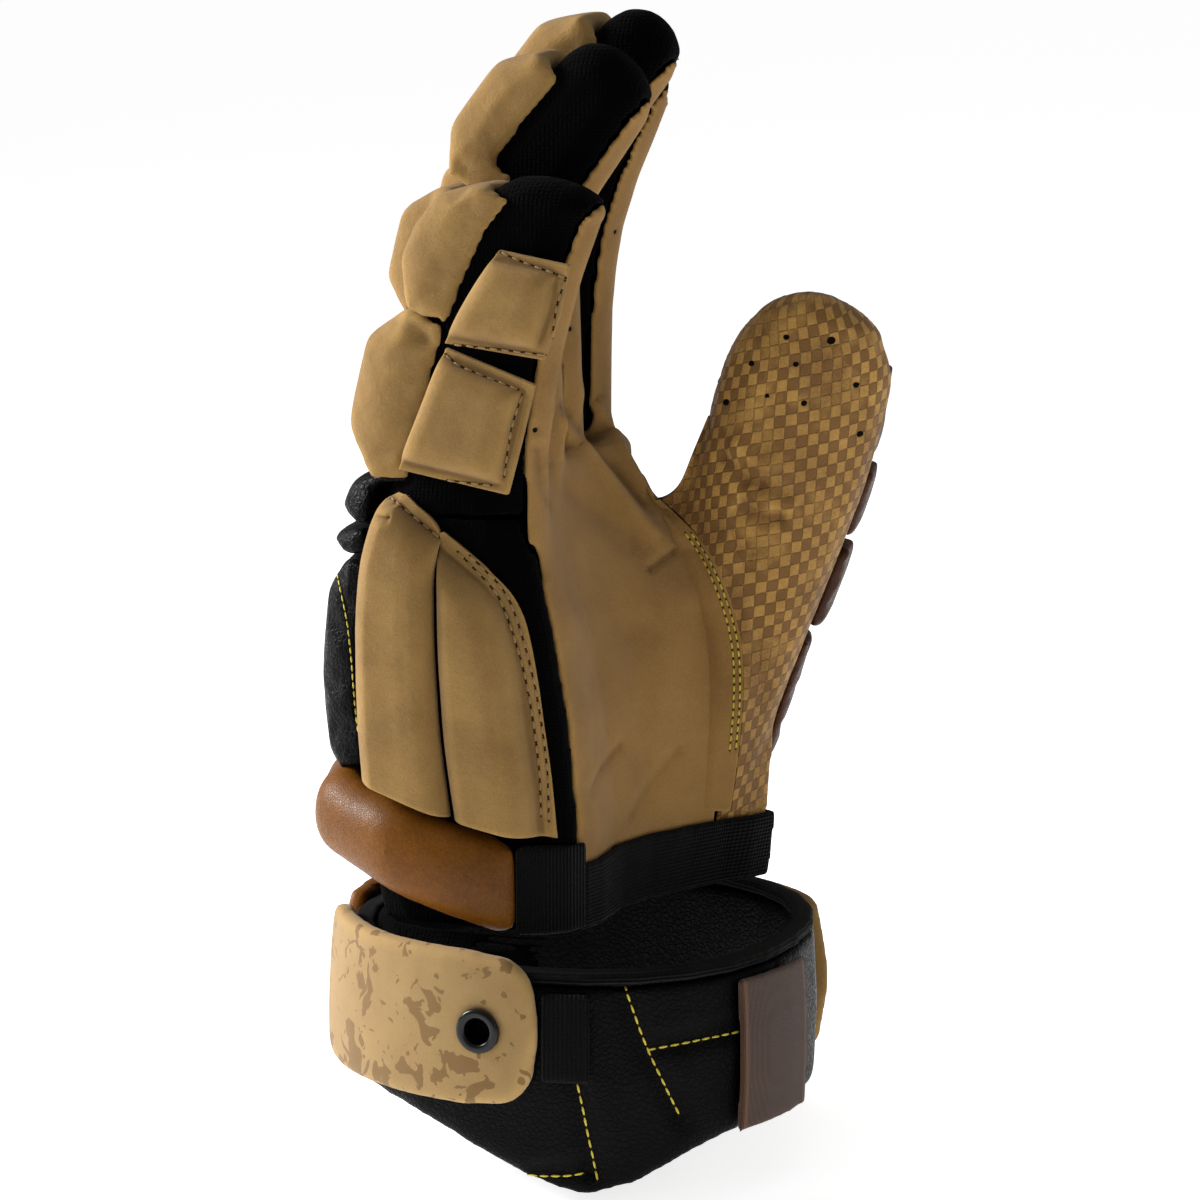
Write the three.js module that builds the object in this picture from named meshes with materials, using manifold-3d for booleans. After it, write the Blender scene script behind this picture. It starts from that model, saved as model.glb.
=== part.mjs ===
// Padded lacrosse glove for the right hand, fingers up, palm towards +X, thumb towards +Y.
import * as THREE from "three";
import { mergeVertices } from "three/addons/utils/BufferGeometryUtils.js";
import Module from "manifold-3d";

const wasm = await Module();
wasm.setup();

// Driving sizes in millimetres. The origin is the middle of the wrist opening.
const leatherWall = 1.8;
const seatGap = 0.35;
const palmLength = 124;
const palmHalfWidth = 52;
const palmDepth = 70;
const rootDepth = 24.8;
const fingerLength = 152;
const fingerPitch = 24.4;
const fingerHalfWidth = 11.7;
const fingerHalfDepth = 20;
const fingerPadHeight = 14;
const sidePadHeight = 8;
const thumbLength = 156;
const thumbHalfWidth = 25;
const thumbHalfDepth = 14;
const thumbPadHeight = 9;
const backPadHeight = 11;
const flankPadHeight = 11;
const wristBarHeight = 30;
const wristBarDepth = 17;
const hemHeight = 19;
const tapeWall = 2.2;
const cuffHalfDepth = 66.5;
const cuffHalfWidth = 67;
const cuffHeight = 45;
const cuffDrop = 10;
const cuffDip = 19;
const cuffWall = 6;
const plateWall = 5;
const eyeletRadius = 6.2;
const eyeletBore = 3.6;

// Finishes.
const suede = { color: 0xc49c63, roughness: 0.9, metalness: 0 };
const palmHide = { color: 0x9c7b4e, roughness: 0.85, metalness: 0 };
const checkHide = { color: 0x8b6b40, roughness: 0.7, metalness: 0 };
const brownHide = { color: 0x8a5529, roughness: 0.5, metalness: 0 };
const blackHide = { color: 0x141414, roughness: 0.55, metalness: 0 };
const blackKnit = { color: 0x0f0f10, roughness: 0.95, metalness: 0 };
const webbing = { color: 0x171717, roughness: 0.9, metalness: 0 };
const labelWeave = { color: 0x6b4226, roughness: 0.8, metalness: 0 };
const enamel = { color: 0x0c0c0c, roughness: 0.3, metalness: 0.9 };

const glove = new THREE.Group();
const acrossHand = new THREE.Vector3(0, 1, 0);

const degrees = (value) => (value * Math.PI) / 180;
const mix = (from, to, share) => from + (to - from) * share;

// Turns points and triangles into a solid that faces outwards.
function solidFrom(positions, triangles) {
  let volume = 0;
  for (let i = 0; i < triangles.length; i += 3) {
    const corners = [0, 1, 2].map((k) => 3 * triangles[i + k]);
    const [a, b, c] = corners.map((start) => new THREE.Vector3().fromArray(positions, start));
    volume += a.dot(b.cross(c));
  }
  const triVerts = new Uint32Array(triangles);
  if (volume < 0) {
    triVerts.reverse();
  }
  return new wasm.Manifold(
    new wasm.Mesh({ numProp: 3, vertProperties: new Float32Array(positions), triVerts }),
  );
}

function solidOfGeometry(geometry) {
  const bare = geometry.clone();
  bare.deleteAttribute("normal");
  bare.deleteAttribute("uv");
  const merged = mergeVertices(bare);
  return solidFrom(Array.from(merged.attributes.position.array), Array.from(merged.index.array));
}

// A closed skin over rings of equally many points, each end closed by a fan.
function loft(rings) {
  const count = rings[0].length;
  const positions = rings.flat().flatMap((point) => point.toArray());
  const triangles = [];
  for (let k = 0; k + 1 < rings.length; k++) {
    for (let i = 0; i < count; i++) {
      const a = k * count + i;
      const b = k * count + ((i + 1) % count);
      triangles.push(a, b, b + count, a, b + count, a + count);
    }
  }
  for (const [ring, start, turned] of [
    [rings[0], 0, true],
    [rings[rings.length - 1], (rings.length - 1) * count, false],
  ]) {
    const middle = ring.reduce((sum, point) => sum.add(point), new THREE.Vector3()).divideScalar(count);
    const hub = positions.length / 3;
    positions.push(...middle.toArray());
    for (let i = 0; i < count; i++) {
      const a = start + i;
      const b = start + ((i + 1) % count);
      triangles.push(...(turned ? [b, a, hub] : [a, b, hub]));
    }
  }
  return solidFrom(positions, triangles);
}

// A closed slab between an upper and a lower grid of points.
function slab(upper, lower) {
  const rows = upper.length;
  const columns = upper[0].length;
  const positions = [...upper.flat(), ...lower.flat()].flatMap((point) => point.toArray());
  const below = rows * columns;
  const triangles = [];
  const quad = (a, b, c, d) => triangles.push(a, b, c, a, c, d);
  for (let i = 0; i + 1 < rows; i++) {
    for (let j = 0; j + 1 < columns; j++) {
      const a = i * columns + j;
      quad(a, a + 1, a + columns + 1, a + columns);
      quad(below + a, below + a + columns, below + a + columns + 1, below + a + 1);
    }
    const first = i * columns;
    const last = first + columns - 1;
    quad(first, first + columns, below + first + columns, below + first);
    quad(last, below + last, below + last + columns, last + columns);
  }
  for (let j = 0; j + 1 < columns; j++) {
    const end = (rows - 1) * columns + j;
    quad(j, below + j, below + j + 1, j + 1);
    quad(end, end + 1, below + end + 1, below + end);
  }
  return solidFrom(positions, triangles);
}

const block = (from, to) => {
  const size = to.clone().sub(from);
  const box = new THREE.BoxGeometry(size.x, size.y, size.z);
  box.translate(...from.clone().add(to).divideScalar(2).toArray());
  return solidOfGeometry(box);
};

function addPiece(name, solid, finish) {
  const made = solid.getMesh();
  const geometry = new THREE.BufferGeometry();
  geometry.setAttribute("position", new THREE.BufferAttribute(made.vertProperties, 3));
  geometry.setIndex(new THREE.BufferAttribute(made.triVerts, 1));
  const mesh = new THREE.Mesh(geometry, new THREE.MeshStandardMaterial(finish));
  mesh.name = name;
  glove.add(mesh);
}

// The largest body of a solid, without crumbs that a cut leaves.
function mainBody(solid) {
  return solid.decompose().reduce((best, body) => (body.volume() > best.volume() ? body : best));
}

// A point of a superellipse with the given half sizes.
function oval(angle, halfFirst, halfSecond, power) {
  const soften = (value) => Math.sign(value) * Math.pow(Math.abs(value), 2 / power);
  return [halfFirst * soften(Math.cos(angle)), halfSecond * soften(Math.sin(angle))];
}

// Hand body: sections up the palm. Heights are shares of palmLength, x shares of palmDepth,
// y shares of palmHalfWidth. The seam is where palm and thumb leather meet, the web its far side.
const handColumns = [
  "z", "back", "ulnar", "radial", "heel", "hollow", "seamX", "seamY", "webX", "webY",
];
const handRows = [
  [0.0, -0.48, 0.95, 0.88, 0.42, 0.46, 0.66, 0.46, 0.8, 0.78],
  [0.24, -0.54, 1.0, 0.92, 0.44, 0.46, 0.7, 0.48, 0.84, 0.8],
  [0.48, -0.56, 1.02, 0.94, 0.4, 0.41, 0.71, 0.52, 0.86, 0.84],
  [0.68, -0.56, 1.02, 0.94, 0.34, 0.33, 0.63, 0.56, 0.76, 0.86],
  [0.84, -0.53, 1.0, 0.95, 0.28, 0.24, 0.45, 0.6, 0.5, 0.82],
  [0.95, -0.46, 0.98, 0.95, 0.23, 0.19, 0.28, 0.64, 0.27, 0.82],
  [1.03, -0.38, 0.95, 0.93, 0.19, 0.17, 0.2, 0.66, 0.18, 0.82],
].map((row) => Object.fromEntries(handColumns.map((key, k) => [key, row[k]])));
const handFacets = 24;

// Values of the hand table at a height, between its rows.
function handRowAt(z) {
  const share = THREE.MathUtils.clamp(z / palmLength, handRows[0].z, handRows[handRows.length - 1].z);
  const upper = Math.max(1, handRows.findIndex((row) => row.z >= share));
  const [low, high] = [handRows[upper - 1], handRows[upper]];
  const part = (share - low.z) / (high.z - low.z);
  return Object.fromEntries(Object.keys(low).map((key) => [key, mix(low[key], high[key], part)]));
}

// The closed outline of the hand at a height.
function handOutline(z) {
  const row = handRowAt(z);
  const corner = 0.13;
  const spots = [
    [row.heel, -row.ulnar + corner],
    [row.hollow, -0.15],
    [row.seamX, row.seamY],
    [row.webX, row.webY],
    [mix(row.back, row.webX, 0.45), row.radial],
    [row.back + corner, row.radial - corner / 2],
    [row.back, 0.42],
    [row.back, -0.42],
    [row.back + corner, -row.ulnar + corner / 2],
    [mix(row.back, row.heel, 0.5), -row.ulnar],
  ];
  const points = spots.map(([x, y]) => new THREE.Vector3(x * palmDepth, y * palmHalfWidth, z));
  return new THREE.CatmullRomCurve3(points, true, "centripetal");
}

// A point on the outline at a height, moved out by a distance, with its outward direction.
function handSpot(share, z, out) {
  const outline = handOutline(z);
  const point = outline.getPoint(((share % 1) + 1) % 1);
  const along = outline.getTangent(((share % 1) + 1) % 1);
  const outward = new THREE.Vector3(along.y, -along.x, 0).normalize();
  return { point: point.addScaledVector(outward, out), outward };
}

function handBody(out) {
  const reach = out < 0 ? -2 * leatherWall : 0;
  const rings = handRows.map((row, k) => {
    const foot = k === 0 ? reach : 0;
    const top = k === handRows.length - 1 ? out : 0;
    return Array.from({ length: handFacets }, (_, i) => {
      const { point } = handSpot(i / handFacets, row.z * palmLength, out);
      return point.setZ(point.z + foot + top);
    });
  });
  return loft(rings);
}

// Fingers: parts are shares of fingerLength up to each bend, lean is the angle of each part.
// Pads start and end at shares of the finger's own length, measured from its root in the palm.
const fingers = [
  {
    name: "pinky",
    place: -1.5,
    depth: 1.22,
    shift: 0.03,
    parts: [0.3, 0.25, 0.2],
    lean: [3, 16, 26],
    pads: [[0.24, 0.585], [0.61, 0.95]],
  },
  {
    name: "ring",
    place: -0.5,
    depth: 1.08,
    shift: -0.04,
    parts: [0.56, 0.21, 0.18],
    lean: [0, 30, 40],
    pads: [[0.21, 0.45], [0.475, 0.67], [0.7, 0.925]],
  },
  {
    name: "middle",
    place: 0.5,
    depth: 0.9,
    shift: -0.1,
    parts: [0.62, 0.235, 0.16],
    lean: [0, 31, 43],
    pads: [[0.2, 0.45], [0.475, 0.695], [0.72, 0.935]],
  },
  {
    name: "index",
    place: 1.5,
    depth: 0.84,
    shift: -0.16,
    parts: [0.51, 0.21, 0.16],
    lean: [2, 18, 28],
    pads: [[0.22, 0.46], [0.485, 0.7], [0.73, 0.93]],
  },
];
const fingerRoot = new THREE.Vector3(-0.06 * palmDepth, -0.01 * palmHalfWidth, palmLength - rootDepth);
const fingerFacets = 10;
const fingerSquareness = 2.5;

function fingerLine(finger) {
  const joints = [fingerRoot.clone()];
  joints[0].y += finger.place * fingerPitch;
  joints[0].x += finger.shift * fingerHalfDepth;
  finger.parts.forEach((part, k) => {
    const lean = degrees(finger.lean[k]);
    const step = new THREE.Vector3(Math.sin(lean), 0, Math.cos(lean)).multiplyScalar(part * fingerLength);
    joints.push(joints[k].clone().add(step));
  });
  const [root, knuckle, bend, tip] = joints;
  const bow = 0.35;
  const points = [
    root,
    root.clone().lerp(knuckle, 0.5),
    knuckle.clone().lerp(root, bow / 2),
    knuckle.clone().lerp(bend, bow),
    bend.clone().lerp(knuckle, bow),
    bend.clone().lerp(tip, bow),
    tip,
  ];
  return new THREE.CatmullRomCurve3(points, false, "centripetal");
}

// Middle, direction, palm side and half sizes of a finger at a share of its length.
function fingerFrame(finger, share) {
  const middle = finger.line.getPointAt(THREE.MathUtils.clamp(share, 0, 1));
  const along = finger.line.getTangentAt(THREE.MathUtils.clamp(share, 0, 1));
  const palmward = acrossHand.clone().cross(along);
  return {
    middle,
    along,
    palmward,
    depth: finger.depth * fingerHalfDepth * mix(1, 0.68, Math.pow(share, 1.5)),
    width: fingerHalfWidth * mix(1, 0.93, share),
  };
}

fingers.forEach((finger) => {
  finger.line = fingerLine(finger);
});

const fingerStations = [0, 0.38, 0.5, 0.6, 0.7, 0.82, 1];
const domeStations = [34, 68];

function fingerTube(finger, out) {
  const ring = (frame, shrink, forward) =>
    Array.from({ length: fingerFacets }, (_, i) => {
      const angle = (2 * Math.PI * i) / fingerFacets;
      const [first, second] = oval(angle, frame.depth + out, frame.width + out, fingerSquareness);
      return frame.middle
        .clone()
        .addScaledVector(frame.palmward, first * shrink)
        .addScaledVector(acrossHand, second * shrink)
        .addScaledVector(frame.along, forward);
    });
  const body = fingerStations.map((share) => ring(fingerFrame(finger, share), 1, 0));
  const tip = fingerFrame(finger, 1);
  const dome = domeStations.map((turn) =>
    ring(tip, Math.cos(degrees(turn)), (tip.width + out) * Math.sin(degrees(turn))),
  );
  return loft([...body, ...dome]);
}

// Thumb: heights are shares of thumbLength, x shares of palmDepth, sizes shares of the thumb's own.
const thumbRows = [
  { z: 0.03, x: 0.52, y: 0.6, width: 0.5, depth: 0.75 },
  { z: 0.2, x: 0.6, y: 0.68, width: 0.52, depth: 0.8 },
  { z: 0.4, x: 0.7, y: 0.74, width: 0.62, depth: 0.9 },
  { z: 0.58, x: 0.8, y: 0.74, width: 0.78, depth: 1.0 },
  { z: 0.74, x: 0.88, y: 0.73, width: 0.95, depth: 1.0 },
  { z: 0.88, x: 0.96, y: 0.71, width: 1.0, depth: 0.95 },
  { z: 1.0, x: 1.02, y: 0.72, width: 0.94, depth: 0.9 },
];
const thumbTurn = 12;
const thumbFacets = 12;
const thumbSquareness = 2.3;
const thumbLine = new THREE.CatmullRomCurve3(
  thumbRows.map((row) => new THREE.Vector3(row.x * palmDepth, row.y * palmHalfWidth, row.z * thumbLength)),
  false,
  "centripetal",
);

// Middle, direction, sideways and back directions and half sizes of the thumb at a share of its length.
function thumbFrame(share) {
  const place = share * (thumbRows.length - 1);
  const low = Math.min(Math.floor(place), thumbRows.length - 2);
  const [from, to] = [thumbRows[low], thumbRows[low + 1]];
  const along = thumbLine.getTangent(share);
  const side = new THREE.Vector3(Math.cos(degrees(thumbTurn)), Math.sin(degrees(thumbTurn)), 0);
  side.addScaledVector(along, -side.dot(along)).normalize();
  return {
    middle: thumbLine.getPoint(share),
    along,
    side,
    backward: along.clone().cross(side),
    width: thumbHalfWidth * mix(from.width, to.width, place - low),
    depth: thumbHalfDepth * mix(from.depth, to.depth, place - low),
  };
}

function thumbTube(out) {
  const ring = (frame, shrink, forward) =>
    Array.from({ length: thumbFacets }, (_, i) => {
      const angle = (2 * Math.PI * i) / thumbFacets;
      const [first, second] = oval(angle, frame.width + out, frame.depth + out, thumbSquareness);
      return frame.middle
        .clone()
        .addScaledVector(frame.side, first * shrink)
        .addScaledVector(frame.backward, second * Math.sqrt(shrink))
        .addScaledVector(frame.along, forward);
    });
  const stations = 7;
  const body = Array.from({ length: stations + 1 }, (_, k) => ring(thumbFrame(k / stations), 1, 0));
  const tip = thumbFrame(1);
  const dome = domeStations.map((turn) =>
    ring(tip, Math.cos(degrees(turn)), (0.75 * tip.width + out) * Math.sin(degrees(turn))),
  );
  return loft([...body, ...dome]);
}

// The whole hand as one solid, grown or shrunk by a distance.
function handForm(out) {
  return [thumbTube(out), ...fingers.map((finger) => fingerTube(finger, out))].reduce(
    (sum, tube) => sum.add(tube),
    handBody(out),
  );
}

const handOuter = handForm(0);
const handInner = handForm(-leatherWall);
const handGrown = handForm(seatGap);
const handShell = handOuter.subtract(handInner);

// Regions that share the wall out between its pieces, each grown by a distance.
const beyond = 320;

// Palm side of the hand: from its border short of the heel's edge to the thumb seam.
const palmBorder = 0.77;
function palmRegion(grow) {
  const rings = handRows.map((row, k) => {
    const ends = { 0: -beyond, [handRows.length - 1]: palmLength * 0.02 + grow };
    const z = row.z * palmLength + (ends[k] ?? 0);
    const border = -palmBorder * palmHalfWidth - grow;
    const seam = new THREE.Vector3(row.seamX * palmDepth, row.seamY * palmHalfWidth, z);
    const outward = new THREE.Vector3(1, -1, 0).normalize();
    const sideways = new THREE.Vector3(1, 1, 0).normalize();
    const inner = (Math.min(row.heel, row.seamX) - 0.2) * palmDepth;
    const inside = new THREE.Vector3(inner - grow, seam.y + grow, z);
    const wrap = 0.4 * Math.max(0, row.z - handRows[4].z) * palmLength;
    seam.addScaledVector(sideways, grow + wrap);
    return [
      new THREE.Vector3(inside.x, border, z),
      new THREE.Vector3(beyond, border, z),
      seam.clone().addScaledVector(outward, palmDepth),
      seam,
      inside,
    ];
  });
  return loft(rings);
}

// Palm side of one finger, up over its tip.
function stripRegion(finger, grow) {
  const inner = 0.8;
  const outerTrim = 0.58;
  const shares = [0.08, 0.38, 0.5, 0.6, 0.7, 0.82, 1];
  const rings = shares.map((share, k) => {
    const frame = fingerFrame(finger, share);
    const forward = k === shares.length - 1 ? 0.55 * frame.width + grow : 0;
    const low = inner * frame.depth - grow;
    const high = frame.depth + fingerPitch / 4;
    const half = fingerPitch / 2 - seatGap / 2;
    const left = finger === fingers[0] ? outerTrim * half + grow : half;
    const right = finger === fingers[fingers.length - 1] ? outerTrim * half + grow : half;
    return [
      [low, -left],
      [high, -left],
      [high, right],
      [low, right],
    ].map(([first, second]) =>
      frame.middle
        .clone()
        .addScaledVector(frame.palmward, first)
        .addScaledVector(acrossHand, second)
        .addScaledVector(frame.along, forward),
    );
  });
  return loft(rings);
}

// Front of the thumb: from the palm seam round to a little past the thumb's side lines.
const thumbLap = 0.2 * thumbHalfDepth;
function thumbFrontRegion(grow) {
  const shares = [0, 0.2, 0.4, 0.6, 0.8, 1];
  const rings = shares.map((share, k) => {
    const frame = thumbFrame(share);
    const reach = { 0: -beyond, [shares.length - 1]: thumbHalfWidth * 2 }[k] ?? 0;
    const upwards = k === 0 ? new THREE.Vector3(0, 0, 1) : frame.along;
    const middle = frame.middle.clone().addScaledVector(upwards, reach);
    const spot = (first, second) =>
      middle.clone().addScaledVector(frame.side, first).addScaledVector(frame.backward, second);
    const inner = -0.9 * frame.width - thumbHalfDepth;
    const lap = thumbLap + grow;
    return [spot(inner, -beyond), spot(beyond, -beyond), spot(beyond, lap), spot(inner, lap)];
  });
  return loft(rings);
}

const palmSide = (grow) =>
  fingers.reduce((sum, finger) => sum.add(stripRegion(finger, grow)), palmRegion(grow));
const palmPlain = palmSide(0);
const palmGrown = palmSide(seatGap);
const webLevel = palmLength * 0.94;
const overThumb = thumbLength + thumbHalfWidth;
const farCorner = new THREE.Vector3(beyond, beyond, beyond);
const thumbEdge = 0.36 * palmDepth;
const thumbSide = (grow) => block(new THREE.Vector3(thumbEdge - grow, -beyond, -beyond), farCorner);

addPiece("palm_leather", mainBody(handShell.intersect(palmPlain)), palmHide);

const thumbFront = thumbFrontRegion(0).intersect(thumbSide(0));
const thumbFrontGrown = thumbFrontRegion(seatGap).intersect(thumbSide(seatGap));
addPiece(
  "thumb_leather",
  mainBody(handShell.intersect(thumbFront).subtract(palmGrown)),
  checkHide,
);

const afterFronts = handShell.subtract(palmGrown).subtract(thumbFrontGrown);
const thumbSplit = 0.42 * palmDepth;
const thumbBackRegion = block(new THREE.Vector3(thumbSplit + seatGap, seatGap, -beyond), farCorner);
addPiece("thumb_sleeve", mainBody(afterFronts.intersect(thumbBackRegion)), blackKnit);

const lowCorner = new THREE.Vector3(-beyond, -beyond, -beyond);
const linerRegion = block(lowCorner, new THREE.Vector3(thumbSplit, beyond, webLevel)).add(
  block(lowCorner, new THREE.Vector3(beyond, 0, webLevel)),
);
addPiece("hand_liner", mainBody(afterFronts.intersect(linerRegion)), blackKnit);

fingers.forEach((finger, k) => {
  const middle = finger.line.getPointAt(0).y;
  const low = k === 0 ? -beyond : middle - fingerPitch / 2 + seatGap / 2;
  const high = k === fingers.length - 1 ? beyond : middle + fingerPitch / 2 - seatGap / 2;
  const region = block(
    new THREE.Vector3(-beyond, low, webLevel + seatGap),
    new THREE.Vector3(thumbSplit, high, beyond),
  ).add(block(new THREE.Vector3(-beyond, low, overThumb), new THREE.Vector3(beyond, high, beyond)));
  addPiece(finger.name + "_sleeve", mainBody(afterFronts.intersect(region)), blackKnit);
});

// Height of a pad across or along it: a thin rim, then a rise to a full crown.
function crown(share, rim) {
  const inside = THREE.MathUtils.clamp((share - rim) / (1 - 2 * rim), 0, 1);
  return Math.pow(1 - Math.pow(Math.abs(2 * inside - 1), 3), 0.5);
}

// Grid lines of a pad: close together at its rims.
const padLines = (rim, count) => [
  ...(rim > 0 ? [0] : []),
  ...Array.from({ length: count + 1 }, (_, i) => mix(rim, 1 - rim, (1 - Math.cos((Math.PI * i) / count)) / 2)),
  ...(rim > 0 ? [1] : []),
];

// A padded solid. frameAt(along) gives a place, a sideways and an outward direction, the two side
// limits, and the level of the surface below at a sideways distance.
function padSolid({ frameAt, height, sink, thin, rim = [0, 0], lines = [4, 3] }) {
  const across = padLines(rim[0], lines[0]);
  const upper = [];
  const lower = [];
  for (const v of padLines(rim[1], lines[1])) {
    const frame = frameAt(v);
    const spot = (u, level) => {
      const sideways = mix(frame.from, frame.to, u);
      return frame.place
        .clone()
        .addScaledVector(frame.sideways, sideways)
        .addScaledVector(frame.outward, frame.level(sideways) + level);
    };
    upper.push(across.map((u) => spot(u, thin + (height - thin) * crown(u, rim[0]) * crown(v, rim[1]))));
    lower.push(across.map((u) => spot(u, -sink)));
  }
  return slab(upper, lower);
}

// Side pads on the outer sides of the first and last finger. Corners run low back, low front,
// high back, high front, from the finger's root, in shares of fingerHalfDepth and fingerLength.
const sidePadSeat = 0.97;
const sidePads = [
  {
    finger: fingers[0],
    outward: -1,
    height: sidePadHeight,
    pads: [
      [[-0.69, 0.195], [0.96, 0.163], [0.03, 0.419], [1.33, 0.365]],
      [[0.0, 0.43], [1.48, 0.411], [0.83, 0.605], [1.85, 0.584]],
    ],
  },
  {
    finger: fingers[3],
    outward: 1,
    height: 0.7 * sidePadHeight,
    pads: [
      [[-0.515, 0.22], [0.38, 0.22], [-0.465, 0.405], [0.43, 0.405]],
      [[-0.41, 0.44], [0.415, 0.426], [-0.05, 0.632], [0.72, 0.599]],
      [[0.05, 0.658], [0.765, 0.624], [0.585, 0.802], [1.2, 0.759]],
    ],
  },
];

function sidePad({ finger, outward, height }, corners, grow) {
  const root = finger.line.getPointAt(0);
  const [lowBack, lowFront, highBack, highFront] = corners.map(
    ([x, z]) =>
      new THREE.Vector3(
        root.x + x * fingerHalfDepth,
        root.y + outward * sidePadSeat * fingerHalfWidth,
        root.z + z * fingerLength,
      ),
  );
  return padSolid({
    frameAt: (v) => {
      const back = lowBack.clone().lerp(highBack, v);
      const across = lowFront.clone().lerp(highFront, v).sub(back);
      const width = across.length();
      back.z += (2 * v - 1) * grow;
      return {
        place: back,
        sideways: across.normalize(),
        outward: acrossHand.clone().multiplyScalar(outward),
        from: -grow,
        to: width + grow,
        level: () => 0,
      };
    },
    height: height + grow,
    sink: 0.55 * fingerHalfWidth,
    thin: 1.6 + grow,
    rim: [0.13, 0.09],
    lines: [3, 2],
  });
}

sidePads.forEach((place) => {
  place.pads.forEach((corners, k) => {
    const name = place.finger.name + "_side_pad_" + (k + 1);
    addPiece(name, mainBody(sidePad(place, corners, 0).subtract(handGrown)), suede);
  });
});

fingers.forEach((finger) => {
  finger.pads.forEach(([start, end], k) => {
    let pad = padSolid({
      frameAt: (v) => {
        const frame = fingerFrame(finger, mix(start, end, v));
        const half = Math.min(frame.width, fingerPitch / 2 - seatGap);
        return {
          place: frame.middle,
          sideways: acrossHand,
          outward: frame.palmward.clone().negate(),
          from: -half,
          to: half,
          level: () => 0.86 * frame.depth,
        };
      },
      height: fingerPadHeight * (k === finger.pads.length - 1 ? 0.84 : 1) + 0.14 * fingerHalfDepth,
      sink: 0.6 * fingerHalfDepth,
      thin: 5,
    });
    pad = pad.subtract(handGrown);
    sidePads
      .filter((place) => place.finger === finger)
      .forEach((place) => {
        place.pads.forEach((corners) => {
          pad = pad.subtract(sidePad(place, corners, seatGap));
        });
      });
    addPiece(finger.name + "_pad_" + (k + 1), mainBody(pad), suede);
  });
});

// Pads on the back of the thumb, from its root to its tip.
[
  { name: "thumb_pad_1", span: [0.2, 0.4], reach: 1.5 },
  { name: "thumb_pad_2", span: [0.42, 0.57], reach: 2.5 },
  { name: "thumb_pad_3", span: [0.59, 0.74], reach: 1 },
  { name: "thumb_pad_4", span: [0.76, 0.99], reach: -1 },
].forEach(({ name, span, reach }) => {
  const pad = padSolid({
    frameAt: (v) => {
      const frame = thumbFrame(mix(span[0], span[1], v));
      return {
        place: frame.middle,
        sideways: frame.side,
        outward: frame.backward,
        from: -0.78 * frame.width,
        to: frame.width + reach,
        level: () => 0.9 * frame.depth,
      };
    },
    height: thumbPadHeight + 0.1 * thumbHalfDepth,
    sink: 0.7 * thumbHalfDepth,
    thin: 3,
    lines: [3, 3],
  });
  addPiece(name, mainBody(pad.subtract(handGrown)), brownHide);
});

// Padded bar round the back of the wrist. Shares run round the outline of the hand.
const barSpan = [0.44, 0.955];
const barRise = 17;
const barEndDepth = 7;
const barSink = 4;
const barTrim = 3;
const barLevel = 0.1 * palmLength;

function wristBar(grow) {
  return padSolid({
    frameAt: (v) => {
      const share = mix(barSpan[0], barSpan[1], v) + (2 * v - 1) * (grow / palmHalfWidth / 4);
      const rise = barRise * Math.sin(Math.PI * v);
      const { point, outward } = handSpot(share, barLevel, 0);
      return {
        place: point.setZ(rise),
        sideways: new THREE.Vector3(0, 0, 1),
        outward,
        from: -grow,
        to: wristBarHeight - barTrim + grow,
        level: () => 0,
      };
    },
    height: wristBarDepth + grow,
    sink: barSink,
    thin: barEndDepth + grow,
    lines: [4, 10],
  });
}

const barCut = wristBar(seatGap);
addPiece("wrist_bar", mainBody(wristBar(0).subtract(handGrown)), brownHide);

// Webbing that ties each end of the bar to the palm. It thins from the bar towards the palm.
const tabs = [
  { name: "wrist_tab_pinky", from: barSpan[1], to: barSpan[1] + 0.06 },
  { name: "wrist_tab_index", from: barSpan[0], to: barSpan[0] - 0.06 },
];
function wristTab({ from, to }, grow) {
  const way = Math.sign(to - from);
  const start = from + (way * (seatGap - grow)) / palmHalfWidth / 4;
  const end = to + (way * grow) / palmHalfWidth / 4;
  const rings = [0, 1 / 3, 2 / 3, 1].map((step) => {
    const depth = mix(barEndDepth, tapeWall, step) + grow;
    const corner = (level, out) => handSpot(mix(start, end, step), barLevel, out).point.setZ(level);
    const low = 1 - grow;
    const high = wristBarHeight - barTrim - 1 + grow;
    return [corner(low, -barSink), corner(low, depth), corner(high, depth), corner(high, -barSink)];
  });
  return loft(rings);
}
tabs.forEach((tab) => addPiece(tab.name, mainBody(wristTab(tab, 0).subtract(handGrown)), webbing));
const bandCut = tabs.reduce((sum, tab) => sum.add(wristTab(tab, seatGap)), barCut);

// Pads laid flat against the hand: across is y on the back and x on the flanks.
function flatPad({ rows, outward, sideways, level, height, thin, rim, lines }, grow) {
  return padSolid({
    frameAt: (v) => {
      const place = v * (rows.length - 1);
      const low = Math.min(Math.floor(place), rows.length - 2);
      const value = (key) => mix(rows[low][key], rows[low + 1][key], place - low);
      const z = value("z") * palmLength + (2 * v - 1) * grow;
      return {
        place: new THREE.Vector3(0, 0, z),
        sideways,
        outward,
        from: value("from") - grow,
        to: value("to") + grow,
        level: (distance) => level(distance, z),
      };
    },
    height: height + grow,
    sink: 12,
    thin: thin + grow,
    rim,
    lines,
  });
}

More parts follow.
